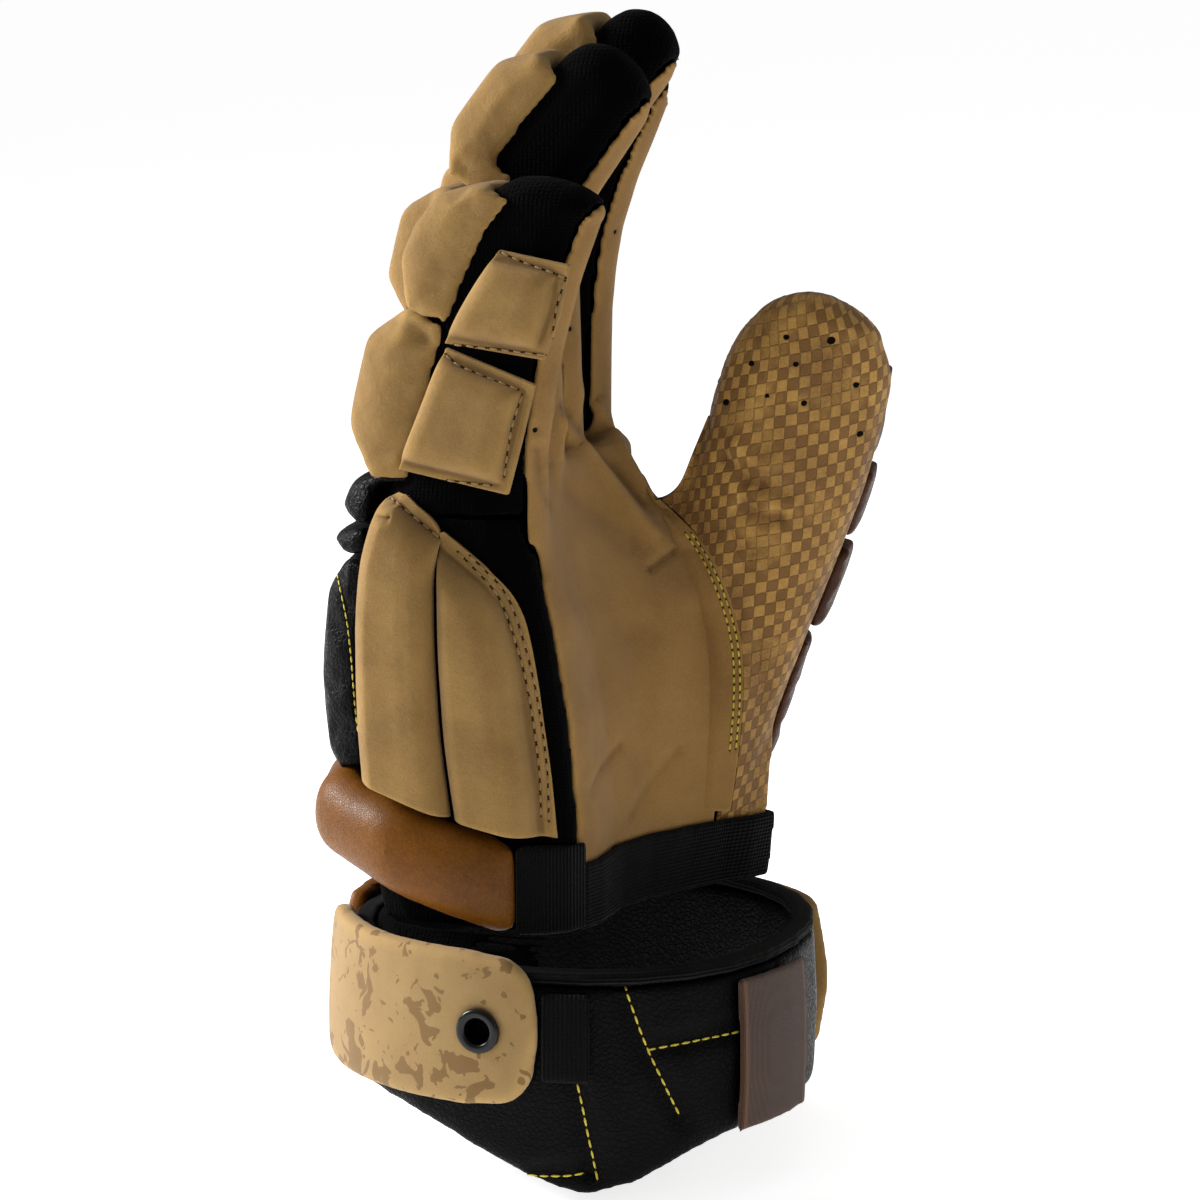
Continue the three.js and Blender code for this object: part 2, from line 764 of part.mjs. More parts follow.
// Suede rolls on the flank below the little finger, and one on the other flank.
const flankLevel = (side) => (x, z) => {
  const row = handRowAt(z);
  const spread = Math.abs((2 * x) / palmDepth - row.back - row.heel);
  const reach = side < 0 ? row.ulnar : row.radial;
  return reach * palmHalfWidth - 0.06 * palmDepth * Math.pow(spread, 3);
};
const flankRolls = [
  {
    name: "flank_roll_back",
    side: -1,
    rows: [
      { z: 0.1, from: -0.42, to: 0 },
      { z: 0.5, from: -0.44, to: -0.05 },
      { z: 0.8, from: -0.43, to: -0.075 },
      { z: 1.0, from: -0.38, to: -0.24 },
    ],
  },
  {
    name: "flank_roll_front",
    side: -1,
    rows: [
      { z: 0.17, from: 0.005, to: 0.4 },
      { z: 0.4, from: -0.025, to: 0.37 },
      { z: 0.65, from: -0.05, to: 0.3 },
      { z: 0.8, from: -0.062, to: 0.2 },
      { z: 0.93, from: -0.168, to: -0.02 },
    ],
  },
  {
    name: "flank_roll_index",
    side: 1,
    rows: [
      { z: 0.2, from: -0.42, to: 0.08 },
      { z: 0.55, from: -0.44, to: 0.06 },
      { z: 0.9, from: -0.4, to: 0.04 },
    ],
  },
];
const flankRoll = ({ side, rows }, grow) =>
  flatPad(
    {
      rows: rows.map((row) => ({ z: row.z, from: row.from * palmDepth, to: row.to * palmDepth })),
      outward: new THREE.Vector3(0, side, 0),
      sideways: new THREE.Vector3(1, 0, 0),
      level: flankLevel(side),
      height: flankPadHeight,
      thin: 1.8,
      rim: [0.06, 0.03],
      lines: [4, 5],
    },
    grow,
  );
let flankCut = bandCut;
flankRolls.forEach((roll) => {
  addPiece(roll.name, mainBody(flankRoll(roll, 0).subtract(handGrown).subtract(flankCut)), suede);
  flankCut = flankCut.add(flankRoll(roll, seatGap));
});

// Back of the hand: rows of pads, each with its height span and side limits.
const backLevel = (y, z) => {
  const edge = Math.abs(y) / palmHalfWidth;
  return -handRowAt(z).back * palmDepth - 0.1 * palmDepth * Math.pow(edge, 3);
};
const backColumns = [
  { name: "ulnar", from: -0.9, to: -0.31 },
  { name: "middle", from: -0.29, to: 0.31 },
  { name: "radial", from: 0.33, to: 0.9 },
];
function backPad(name, from, to, low, high, lines) {
  const pad = flatPad(
    {
      rows: [low, high].map((z) => ({ z, from: from * palmHalfWidth, to: to * palmHalfWidth })),
      outward: new THREE.Vector3(-1, 0, 0),
      sideways: acrossHand,
      level: backLevel,
      height: backPadHeight,
      thin: 4,
      rim: [0, 0],
      lines,
    },
    0,
  );
  addPiece(name, mainBody(pad.subtract(handGrown).subtract(flankCut)), blackHide);
}
backColumns.forEach(({ name, from, to }) => {
  backPad("back_pad_" + name, from, to, 0.3, 0.815, [4, 4]);
  backPad("flex_pad_" + name, from, to, 0.83, 0.895, [4, 2]);
});
fingers.forEach((finger) => {
  const middle = finger.line.getPointAt(0).y / palmHalfWidth;
  const half = (fingerPitch / 2 - seatGap) / palmHalfWidth;
  backPad("knuckle_pad_" + finger.name, middle - half, middle + half, 0.91, 1.02, [4, 3]);
});

// Hem tape round the foot of the palm, ending at the bar on both sides.
const tapeOuter = handForm(seatGap + tapeWall);
const hemRegion = block(
  new THREE.Vector3(0.34 * palmDepth, -beyond, 0),
  new THREE.Vector3(beyond, beyond, hemHeight),
);
const hemBand = tapeOuter.subtract(handGrown).intersect(hemRegion);
addPiece("palm_hem", mainBody(hemBand.subtract(bandCut)), webbing);

// Cuff: an oval wall below the wrist, deeper at the little-finger side.
const cuffMiddle = 0.235 * palmDepth;
const dipAngle = -70;
const dipSpread = 27;
const cuffLift = 8;
const cuffSquareness = 2.2;
const cuffBottom = (turn) => {
  const away = THREE.MathUtils.euclideanModulo(turn - dipAngle + 180, 360) - 180;
  const lift = cuffLift * (1 - Math.cos(degrees(turn))) / 2;
  return lift - cuffDrop - cuffHeight - cuffDip * Math.exp(-Math.pow(away / dipSpread, 2));
};

function cuffSpot(turn, z, out) {
  const belly = 1 - 0.06 * Math.pow((z + cuffDrop + 0.55 * cuffHeight) / cuffHeight, 2);
  const [x, y] = oval(degrees(turn), cuffHalfDepth * belly + out, cuffHalfWidth * belly + out, cuffSquareness);
  return new THREE.Vector3(cuffMiddle + x, y, z);
}

// A closed ring wall, or an open sector of one, between two height functions.
function cuffBand({ inner, outer, low, high, span, columns, rows }) {
  const closed = span === undefined;
  const turns = Array.from({ length: columns + (closed ? 0 : 1) }, (_, i) =>
    closed ? (360 * i) / columns : mix(span[0], span[1], i / columns),
  );
  const heights = Array.from({ length: rows + 1 }, (_, k) => k / rows);
  const grid = (out) =>
    turns.map((turn) => heights.map((share) => cuffSpot(turn, mix(low(turn), high(turn), share), out)));
  if (!closed) {
    return slab(grid(outer), grid(inner));
  }
  const ringAt = (share, out) => turns.map((turn) => cuffSpot(turn, mix(low(turn), high(turn), share), out));
  const column = (out) => heights.map((share) => ringAt(share, out));
  const reach = 3 * cuffWall;
  const plug = column(inner).map((ring, k) => {
    const shift = { 0: -reach, [rows]: reach }[k] ?? 0;
    return ring.map((point) => point.clone().setZ(point.z + shift));
  });
  return loft(column(outer)).subtract(loft(plug));
}

const cuffRim = -cuffDrop;
addPiece(
  "cuff_wrap",
  cuffBand({ inner: -cuffWall, outer: 0, low: cuffBottom, high: () => cuffRim, columns: 26, rows: 2 }),
  blackHide,
);
const bindingHeight = 4;
addPiece(
  "cuff_binding",
  cuffBand({
    inner: -cuffWall,
    outer: 0,
    low: () => cuffRim + seatGap,
    high: () => cuffRim + bindingHeight,
    columns: 26,
    rows: 1,
  }),
  webbing,
);

// Cuff plates: rounded plates on the outside of the wall. Heights are shares of cuffHeight.
function plateShape({ span, low, high, corner }, turn) {
  const middle = (span[0] + span[1]) / 2;
  const half = (span[1] - span[0]) / 2;
  const past = Math.max(0, (Math.abs(turn - middle) - half * (1 - corner)) / (half * corner));
  const inset = 1 - Math.sqrt(Math.max(0, 1 - past * past));
  const cut = 0.42 * inset * (high - low);
  return [low + cut, high - cut].map((share) => share * cuffHeight);
}

function cuffPlate(shape) {
  return cuffBand({
    inner: seatGap,
    outer: seatGap + plateWall,
    low: (turn) => plateShape(shape, turn)[0],
    high: (turn) => plateShape(shape, turn)[1],
    span: shape.span,
    columns: 12,
    rows: 3,
  });
}

const plates = [
  { name: "cuff_plate_pinky", span: [-163, -80], low: -0.98, high: -0.02, corner: 0.25, finish: suede },
  { name: "cuff_plate_back", span: [107, 194], low: -1.11, high: -0.07, corner: 0.22, finish: brownHide },
  { name: "cuff_plate_thumb", span: [36, 100], low: -1.18, high: -0.18, corner: 0.25, finish: suede },
];
const eyeletTurn = -91;
const eyeletLevel = -0.49 * cuffHeight;

function placedOnCuff(geometry, turn, z, out) {
  const spot = cuffSpot(turn, z, out);
  const nearby = cuffSpot(turn + 1, z, out).sub(spot).normalize();
  const outward = new THREE.Vector3(nearby.y, -nearby.x, 0);
  geometry.applyQuaternion(new THREE.Quaternion().setFromUnitVectors(new THREE.Vector3(0, 0, 1), outward));
  geometry.translate(spot.x, spot.y, spot.z);
  return geometry;
}

plates.forEach(({ name, finish, ...shape }) => {
  let plate = cuffPlate(shape);
  if (eyeletTurn > shape.span[0] && eyeletTurn < shape.span[1]) {
    const drill = new THREE.CylinderGeometry(eyeletRadius - 1.5, eyeletRadius - 1.5, 4 * plateWall, 14);
    drill.rotateX(Math.PI / 2);
    plate = plate.subtract(solidOfGeometry(placedOnCuff(drill, eyeletTurn, eyeletLevel, plateWall / 2)));
  }
  addPiece(name, plate, finish);
});

// Eyelet: a flanged ring in the plate, blind behind.
const eyeletProfile = [
  [eyeletBore, -plateWall + 1],
  [eyeletRadius - 1.5 - seatGap, -plateWall + 1],
  [eyeletRadius - 1.5 - seatGap, seatGap],
  [eyeletRadius, seatGap],
  [eyeletRadius - 0.6, seatGap + 1.2],
  [eyeletBore + 0.6, seatGap + 1.2],
  [eyeletBore, seatGap + 0.4],
  [eyeletBore, -plateWall + 1],
].map(([radius, height]) => new THREE.Vector2(radius, height));
const eyelet = new THREE.LatheGeometry(eyeletProfile, 14);
eyelet.rotateX(Math.PI / 2);
addPiece(
  "cuff_eyelet",
  solidOfGeometry(placedOnCuff(eyelet, eyeletTurn, eyeletLevel, seatGap + plateWall)),
  enamel,
);

// Label tab and elastic strap on the cuff.
addPiece(
  "cuff_label",
  cuffBand({
    inner: seatGap + 0.5,
    outer: seatGap + 0.5 + tapeWall,
    low: (turn) => cuffBottom(turn) + 1,
    high: () => cuffRim - 1,
    span: [-26, -6],
    columns: 3,
    rows: 3,
  }),
  labelWeave,
);
addPiece(
  "cuff_strap",
  cuffBand({
    inner: seatGap + 0.5,
    outer: seatGap + 0.5 + tapeWall,
    low: () => -0.8 * cuffHeight,
    high: () => cuffRim - 1,
    span: [-76, -64],
    columns: 2,
    rows: 3,
  }),
  webbing,
);

// Knit gusset that carries the cuff from the back edge of the hand.
const gussetSpan = [0.42, 0.98];
const gussetGrid = (out) =>
  Array.from({ length: 17 }, (_, i) => {
    const share = mix(gussetSpan[0], gussetSpan[1], i / 16);
    const top = handSpot(share, 0, out - leatherWall).point.setZ(-seatGap);
    const steepen = (value) => Math.sign(value) * Math.pow(Math.abs(value), cuffSquareness / 2);
    const turn = THREE.MathUtils.radToDeg(
      Math.atan2(steepen(top.y / cuffHalfWidth), steepen((top.x - cuffMiddle) / cuffHalfDepth)),
    );
    const inside = -cuffWall - 2 * seatGap - leatherWall;
    const rim = cuffSpot(turn, cuffRim + bindingHeight + seatGap, out + inside);
    const foot = cuffSpot(turn, cuffRim - 0.3 * cuffHeight, out + inside);
    return [top, rim, foot];
  });
addPiece("cuff_gusset", slab(gussetGrid(leatherWall), gussetGrid(0)), blackKnit);

export default glove;
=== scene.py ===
# Padded lacrosse glove for the right hand: soft pads, leathers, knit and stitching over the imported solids.
import math

import bmesh
import bpy
import numpy as np
from mathutils import Matrix, Vector, noise
from mathutils.bvhtree import BVHTree


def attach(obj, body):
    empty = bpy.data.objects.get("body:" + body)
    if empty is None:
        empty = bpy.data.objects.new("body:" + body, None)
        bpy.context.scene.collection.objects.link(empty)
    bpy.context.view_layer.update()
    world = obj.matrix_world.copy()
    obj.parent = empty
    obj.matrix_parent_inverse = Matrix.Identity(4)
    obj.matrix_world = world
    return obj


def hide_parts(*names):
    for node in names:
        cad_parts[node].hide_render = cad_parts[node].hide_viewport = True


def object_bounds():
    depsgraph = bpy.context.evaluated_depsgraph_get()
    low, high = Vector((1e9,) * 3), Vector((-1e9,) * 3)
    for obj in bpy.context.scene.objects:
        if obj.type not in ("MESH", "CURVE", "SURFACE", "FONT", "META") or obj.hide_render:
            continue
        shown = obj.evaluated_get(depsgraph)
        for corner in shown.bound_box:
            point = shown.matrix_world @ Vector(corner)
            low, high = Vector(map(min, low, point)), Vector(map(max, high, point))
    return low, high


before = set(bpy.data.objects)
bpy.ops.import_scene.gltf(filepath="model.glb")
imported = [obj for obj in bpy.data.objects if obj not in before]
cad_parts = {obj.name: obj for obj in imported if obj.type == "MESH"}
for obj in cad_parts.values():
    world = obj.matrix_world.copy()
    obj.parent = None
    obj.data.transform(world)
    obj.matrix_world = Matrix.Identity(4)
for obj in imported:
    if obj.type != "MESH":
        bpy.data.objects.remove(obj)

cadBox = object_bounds()
mm = 0.001
scene = bpy.context.scene
scene.view_settings.view_transform = "Standard"

# View and light. The angles are those of the photograph.
shot = {"target": (20.1, 3.2, 85.4), "azimuth": 22.0, "elevation": 11.0, "distance": 1350.0, "lens": 142.1}
turn = math.radians(shot["azimuth"])
rise = math.radians(shot["elevation"])
toCamera = Vector((math.sin(turn) * math.cos(rise), -math.cos(turn) * math.cos(rise), math.sin(rise)))
toRight = Vector((math.cos(turn), math.sin(turn), 0))
toTop = toCamera.cross(toRight)
lookAt = Vector(shot["target"]) * mm
eye = lookAt + toCamera * shot["distance"] * mm
pixel = 0.285 * mm  # what one pixel of the picture covers at the target
middlePixel = 600  # the picture is 1200 pixels wide and high

cameraData = bpy.data.cameras.new("camera")
cameraData.lens = shot["lens"]
cameraData.clip_start = 0.05
cameraData.clip_end = 20
camera = bpy.data.objects.new("camera", cameraData)
camera.location = eye
camera.rotation_euler = (-toCamera).to_track_quat("-Z", "Y").to_euler()
scene.collection.objects.link(camera)
scene.camera = camera

lamps = {  # right, towards the camera and up from the glove's middle in mm, size in mm, power in watts
    "keyLamp": ((-1050, -160, 560), 450, 24.0),
    "fillLamp": ((900, 600, 200), 900, 0.7),
    "topLamp": ((0, -100, 1200), 900, 1.5),
}
for lampName, (place, size, power) in lamps.items():
    lampData = bpy.data.lights.new(lampName, "AREA")
    lampData.shape = "DISK"
    lampData.size = size * mm
    lampData.energy = power
    lamp = bpy.data.objects.new(lampName, lampData)
    lamp.location = lookAt + (toRight * place[0] + toCamera * place[1] + toTop * place[2]) * mm
    lamp.rotation_euler = (lookAt - lamp.location).to_track_quat("-Z", "Y").to_euler()
    scene.collection.objects.link(lamp)

world = bpy.data.worlds.new("studio")
world.use_nodes = True
world.node_tree.nodes["Background"].inputs["Color"].default_value = (1, 1, 1, 1)
world.node_tree.nodes["Background"].inputs["Strength"].default_value = 0.25
scene.world = world
print("view and light set")


# Materials. Colours are written as on a screen and turned into linear light.
def tint(code):
    parts = [int(code[k:k + 2], 16) / 255 for k in (0, 2, 4)]
    return tuple(p / 12.92 if p < 0.04045 else ((p + 0.055) / 1.055) ** 2.4 for p in parts) + (1,)


def newGroup(name, inputs, *outputs):  # a node group, what comes into it and what goes out
    tree = bpy.data.node_groups.new(name, "ShaderNodeTree")
    for label, value in inputs.items():
        kind = "NodeSocketColor" if isinstance(value, tuple) else "NodeSocketFloat"
        tree.interface.new_socket(label, in_out="INPUT", socket_type=kind).default_value = value
    for label in outputs:
        kind = "NodeSocketColor" if label == "Color" else "NodeSocketFloat"
        tree.interface.new_socket(label, in_out="OUTPUT", socket_type=kind)
    return tree, tree.nodes.new("NodeGroupInput").outputs, tree.nodes.new("NodeGroupOutput").inputs


def feed(tree, socket, value):  # gives a socket a value, or a link where the value comes from another node
    if isinstance(value, bpy.types.NodeSocket):
        tree.links.new(value, socket)
    else:
        socket.default_value = value


def node(tree, kind, settings=None, **values):
    made = tree.nodes.new(kind)
    for key, value in (settings or {}).items():
        setattr(made, key, value)
    for key, value in values.items():
        feed(tree, made.inputs[key.replace("_", " ")], value)
    return made


def maths(tree, how, *values, kind="ShaderNodeMath"):
    made = node(tree, kind, {"operation": how})
    for slot, value in enumerate(values):
        feed(tree, made.inputs[slot], value)
    return made.outputs[0]


def times(tree, first, second):
    return maths(tree, "MULTIPLY", first, second)


def blendColour(tree, share, first, second, how="MIX"):
    made = node(tree, "ShaderNodeMix", {"data_type": "RGBA", "blend_type": how})
    for slot, value in ((0, share), (6, first), (7, second)):
        feed(tree, made.inputs[slot], value)
    return made.outputs[2]


def ramp(tree, value, low, high):  # 0 at low, 1 at high
    made = node(tree, "ShaderNodeMapRange", {"clamp": True}, From_Min=low, From_Max=high, Value=value)
    return made.outputs["Result"]


def objectPlace(tree):
    return node(tree, "ShaderNodeTexCoord").outputs["Object"]


def clouds(tree, at, **values):
    return node(tree, "ShaderNodeTexNoise", Vector=at, **values).outputs["Fac"]


def axes(tree, vector):
    return node(tree, "ShaderNodeSeparateXYZ", Vector=vector).outputs


def ribPlace(tree):  # millimetres across the ribs of a weave and along them
    return axes(tree, node(tree, "ShaderNodeAttribute", {"attribute_name": "ribs"}).outputs["Vector"])


def toneGroup():  # soft patches and fine flecks between two colours, rubbed edges and painted shade in the folds
    tree, come, go = newGroup("napTone", {"Light": (0.6, 0.4, 0.2, 1), "Shade": (0.4, 0.25, 0.1, 1), "Patch": 60.0,
                                          "Fleck": 1800.0, "Wear": 0.3}, "Color")
    at = objectPlace(tree)
    patch = ramp(tree, clouds(tree, at, Scale=come["Patch"], Detail=4.0, Roughness=0.6), 0.35, 0.7)
    fleck = ramp(tree, clouds(tree, at, Scale=come["Fleck"], Detail=2.0, Roughness=0.7), 0.3, 0.75)
    share = maths(tree, "ADD", times(tree, patch, 0.55), times(tree, fleck, 0.4))
    colour = blendColour(tree, share, come["Light"], come["Shade"])
    edge = node(tree, "ShaderNodeAttribute", {"attribute_name": "edge"}).outputs["Fac"]
    rubbed = times(tree, ramp(tree, edge, 0.12, 0.7), come["Wear"])
    worn = blendColour(tree, rubbed, colour, (1.0, 0.93, 0.78, 1), "SOFT_LIGHT")
    # painted shade: the colour is darkened in the folds, where shade would fall
    foldShadeShare = times(tree, ramp(tree, edge, -0.1, -0.8), 0.55)
    foldShaded = blendColour(tree, 1.0, worn, (0.35, 0.27, 0.2, 1), "MULTIPLY")
    feed(tree, go["Color"], blendColour(tree, foldShadeShare, worn, foldShaded))
    return tree


def napGroup():  # short brushed fibres
    tree, come, go = newGroup("napHeight", {"Scale": 2500.0}, "Height")
    at = objectPlace(tree)
    fine = clouds(tree, at, Scale=come["Scale"], Detail=5.0, Roughness=0.75)
    broad = clouds(tree, at, Scale=420.0, Detail=3.0, Roughness=0.5)
    feed(tree, go["Height"], maths(tree, "ADD", fine, times(tree, broad, 0.8)))
    return tree


def knitGroup():  # small open holes in rows, with thread between them
    tree, come, go = newGroup("knitHoles", {"Scale": 760.0}, "Height", "Hole")
    at = objectPlace(tree)
    tall = node(tree, "ShaderNodeMapping", Vector=at, Scale=(1.0, 1.0, 1.35)).outputs["Vector"]
    cells = node(tree, "ShaderNodeTexVoronoi", {"feature": "F1"}, Vector=tall, Scale=come["Scale"], Randomness=0.28)
    hole = ramp(tree, cells.outputs["Distance"], 0.5, 0.18)
    yarn = times(tree, clouds(tree, at, Scale=3600.0, Detail=3.0), 0.35)
    feed(tree, go["Height"], maths(tree, "ADD", yarn, maths(tree, "SUBTRACT", 1.0, hole)))
    feed(tree, go["Hole"], hole)
    return tree


def pebbleGroup():  # leather grain: raised pebbles with fine creases between them
    tree, come, go = newGroup("pebbleGrain", {"Scale": 900.0}, "Height", "Crease")
    at = objectPlace(tree)
    wobble = node(tree, "ShaderNodeTexNoise", Vector=at, Scale=500.0, Detail=2.0).outputs["Color"]
    shifted = maths(tree, "MULTIPLY_ADD", wobble, (0.0012, 0.0012, 0.0012), at, kind="ShaderNodeVectorMath")
    cells = node(tree, "ShaderNodeTexVoronoi", {"feature": "DISTANCE_TO_EDGE"}, Vector=shifted, Scale=come["Scale"],
                 Randomness=1.0)
    pebble = ramp(tree, cells.outputs["Distance"], 0.0, 0.22)
    fine = times(tree, clouds(tree, at, Scale=5200.0, Detail=3.0), 0.25)
    feed(tree, go["Height"], maths(tree, "ADD", pebble, fine))
    feed(tree, go["Crease"], maths(tree, "SUBTRACT", 1.0, pebble))
    return tree


def ribGroup():  # woven ribs along an attribute measured in millimetres
    tree, come, go = newGroup("wovenRibs", {"Pitch": 1.0}, "Height", "Groove")
    at = ribPlace(tree)
    ribs = maths(tree, "SINE", maths(tree, "DIVIDE", times(tree, at["X"], 2 * math.pi), come["Pitch"]))
    weft = maths(tree, "SINE", times(tree, at["Y"], 2 * math.pi / 0.55))
    feed(tree, go["Height"], maths(tree, "ADD", ribs, times(tree, weft, 0.35)))
    feed(tree, go["Groove"], ramp(tree, ribs, 0.1, -0.9))
    return tree


groups = {"tone": toneGroup(), "nap": napGroup(), "knit": knitGroup(), "pebble": pebbleGroup(), "rib": ribGroup()}


def place(tree, name, **values):
    return node(tree, "ShaderNodeGroup", {"node_tree": groups[name]}, **values).outputs


def toned(tree, light, shade, **values):
    return place(tree, "tone", Light=tint(light), Shade=tint(shade), **values)["Color"]


def newMaterial(name, **values):
    material = bpy.data.materials.new(name)
    material.use_nodes = True
    shader = material.node_tree.nodes["Principled BSDF"]
    for key, value in values.items():
        shader.inputs[key.replace("_", " ")].default_value = value
    return material, material.node_tree


def surface(material, colour, height, depth):  # the depth of the relief is in mm
    tree = material.node_tree
    shader = tree.nodes["Principled BSDF"]
    relief = node(tree, "ShaderNodeBump", Strength=1.0, Distance=depth * mm, Height=height)
    feed(tree, shader.inputs["Normal"], relief.outputs["Normal"])
    feed(tree, shader.inputs["Base Color"], colour)
    return material


def suede(name, light, shade, depth, patch=60.0):
    material, tree = newMaterial(name, Roughness=0.95, Sheen_Weight=0.12, Sheen_Roughness=0.5,
                                 Specular_IOR_Level=0.15)
    nap = place(tree, "nap", Scale=1700.0)["Height"]
    return surface(material, toned(tree, light, shade, Patch=patch), nap, depth)


def knit(name, light, shade):
    material, tree = newMaterial(name, Roughness=0.9, Sheen_Weight=0.01, Specular_IOR_Level=0.02)
    holes = place(tree, "knit")
    colour = blendColour(tree, holes["Hole"], toned(tree, light, shade, Wear=0.1), tint("020202"))
    return surface(material, colour, holes["Height"], 0.3)


def hide(name, light, shade, rough, grain, scale, shine):
    material, tree = newMaterial(name, Roughness=rough, Specular_IOR_Level=shine)
    pebbles = place(tree, "pebble", Scale=scale)
    tone = toned(tree, light, shade, Patch=45.0, Fleck=900.0, Wear=0.35)
    colour = blendColour(tree, times(tree, pebbles["Crease"], 0.35), tone, tint(shade))
    uneven = maths(tree, "ADD", times(tree, pebbles["Crease"], 0.2), rough - 0.04)
    feed(tree, tree.nodes["Principled BSDF"].inputs["Roughness"], uneven)
    return surface(material, colour, pebbles["Height"], grain)


def checks(name, light, shade, side):  # raised squares, their side in mm, on a surface that is laid flat
    material, tree = newMaterial(name, Roughness=0.7, Specular_IOR_Level=0.3, Sheen_Weight=0.1)
    flat = axes(tree, node(tree, "ShaderNodeUVMap", {"uv_map": "unrolled"}).outputs["UV"])
    waves = [maths(tree, "SINE", times(tree, flat[axis], math.pi * 100 / side)) for axis in ("X", "Y")]
    square = ramp(tree, times(tree, *waves), -0.06, 0.06)
    grooves = ramp(tree, maths(tree, "MINIMUM", *[maths(tree, "ABSOLUTE", wave) for wave in waves]), 0.0, 0.3)
    faded = times(tree, square, ramp(tree, clouds(tree, objectPlace(tree), Scale=90.0, Detail=4.0), 0.3, 0.5))
    dark = blendColour(tree, times(tree, faded, 0.8), toned(tree, light, shade, Fleck=1500.0), tint(shade))
    lined = blendColour(tree, times(tree, maths(tree, "SUBTRACT", 1.0, grooves), 0.08), dark, tint("2a1a0c"))
    height = maths(tree, "ADD", times(tree, square, -1.0), times(tree, grooves, 0.3))
    nap = times(tree, place(tree, "nap", Scale=1800.0)["Height"], 0.3)
    return surface(material, lined, maths(tree, "ADD", height, nap), 0.42)


def ribbed(name, light, shade):
    material, tree = newMaterial(name, Roughness=0.75, Sheen_Weight=0.03, Specular_IOR_Level=0.08)
    ribs = place(tree, "rib", Pitch=1.1)
    colour = blendColour(tree, ribs["Groove"], toned(tree, light, shade, Wear=0.2), tint("030303"))
    return surface(material, colour, ribs["Height"], 0.25)


def mottled(name, light, shade, blotch):  # two sizes of spots, more of them low down
    material, tree = newMaterial(name, Roughness=0.8, Specular_IOR_Level=0.2, Sheen_Weight=0.15)
    at = objectPlace(tree)
    low = ramp(tree, axes(tree, at)["Z"], -0.018, -0.062)
    masks = []
    for scale, gain, start, rough in ((110.0, 0.12, 0.625, 0.55), (250.0, 0.03, 0.665, 0.4)):
        spots = clouds(tree, at, Scale=scale, Detail=2.5, Roughness=rough, Distortion=0.6)
        masks.append(ramp(tree, maths(tree, "ADD", spots, times(tree, low, gain)), start, start + 0.012))
    share = times(tree, maths(tree, "MAXIMUM", *masks), 0.85)
    colour = blendColour(tree, share, toned(tree, light, shade), tint(blotch))
    return surface(material, colour, place(tree, "nap", Scale=2200.0)["Height"], 0.07)


def labelCloth(name, ground, line):  # bare cloth with a plain border line
    material, tree = newMaterial(name, Roughness=0.7, Specular_IOR_Level=0.25, Sheen_Weight=0.2)
    ribs = place(tree, "rib", Pitch=0.45)
    far = maths(tree, "ABSOLUTE", maths(tree, "SUBTRACT", ribPlace(tree)["X"], 14.5))
    band = times(tree, ramp(tree, far, 12.4, 12.6), ramp(tree, far, 13.6, 13.4))
    colour = blendColour(tree, band, toned(tree, ground, "3a2110", Wear=0.2), tint(line))
    grooved = blendColour(tree, times(tree, ribs["Groove"], 0.15), colour, tint("1c1008"))
    return surface(material, grooved, ribs["Height"], 0.12)


def thread(name, light, shade, shine=0.35):
    material, tree = newMaterial(name, Roughness=0.6, Specular_IOR_Level=shine, Sheen_Weight=shine / 2)
    twist = node(tree, "ShaderNodeTexWave", {"bands_direction": "DIAGONAL"}, Vector=objectPlace(tree), Scale=1600.0,
                 Distortion=1.0)
    return surface(material, toned(tree, light, shade, Patch=300.0, Fleck=6000.0), twist.outputs["Fac"], 0.06)


def enamelled(name, colour):
    material, tree = newMaterial(name, Roughness=0.28, Metallic=0.3, Specular_IOR_Level=0.4)
    fine = place(tree, "nap", Scale=1200.0)["Height"]
    return surface(material, toned(tree, colour, "050505", Wear=0.6), fine, 0.01)


finishes = {
    "tan_suede": suede("tanSuede", "9A7946", "775B32", depth=0.3),
    "palm_leather": suede("palmHide", "A07B46", "7A5A30", depth=0.26, patch=35.0),
    "check_leather": checks("checkHide", "C0934A", "68451C", 3.5),
    "brown_leather": hide("brownHide", "7E4C0A", "4C2A02", rough=0.42, grain=0.035, scale=1300.0, shine=0.18),
    "dark_hide": hide("darkBrownHide", "4A2814", "2A1508", rough=0.42, grain=0.05, scale=1100.0, shine=0.2),
    "black_leather": hide("blackHide", "050505", "020202", rough=0.4, grain=0.12, scale=620.0, shine=0.06),
    "black_knit": knit("blackKnit", "040405", "010101"),
    "webbing": ribbed("webbing", "040405", "010101"),
    "label_weave": labelCloth("labelWeave", "4E2E18", "6E4A2C"),
    "printed_plate": mottled("mottledPlate", "9E8153", "8B6E43", "735630"),
    "eyelet_enamel": enamelled("eyeletEnamel", "080808"),
    "yellow_thread": thread("yellowThread", "DCC83A", "AE9A22"),
    "tan_thread": thread("tanThread", "9A7B4A", "6A5030"),
    # dark marks at the ends of stitches: needle holes, their darkness painted shade
    "stitch_hole_shade": thread("needleHole", "2a1c0e", "170f07", shine=0.04),
    "air_hole": thread("airHole", "0a0806", "040302", shine=0.04),
}
print("materials made")


# Soft shapes. Most pieces start from their solid, are rebuilt with even faces, smoothed and filled out.
pieces = {}


def bakeShape(obj):
    made = bpy.data.meshes.new_from_object(obj.evaluated_get(bpy.context.evaluated_depsgraph_get()))
    old = obj.data
    obj.modifiers.clear()
    obj.data = made
    bpy.data.meshes.remove(old)


def newObject(label, shape):
    data = bpy.data.meshes.new(label)
    shape.to_mesh(data)
    shape.free()
    obj = bpy.data.objects.new(label, data)
    scene.collection.objects.link(obj)
    return obj


def solidName(label):  # the piece palmLeather stands for the solid palm_leather
    return "".join(letter if letter.islower() else "_" + letter.lower() for letter in label)


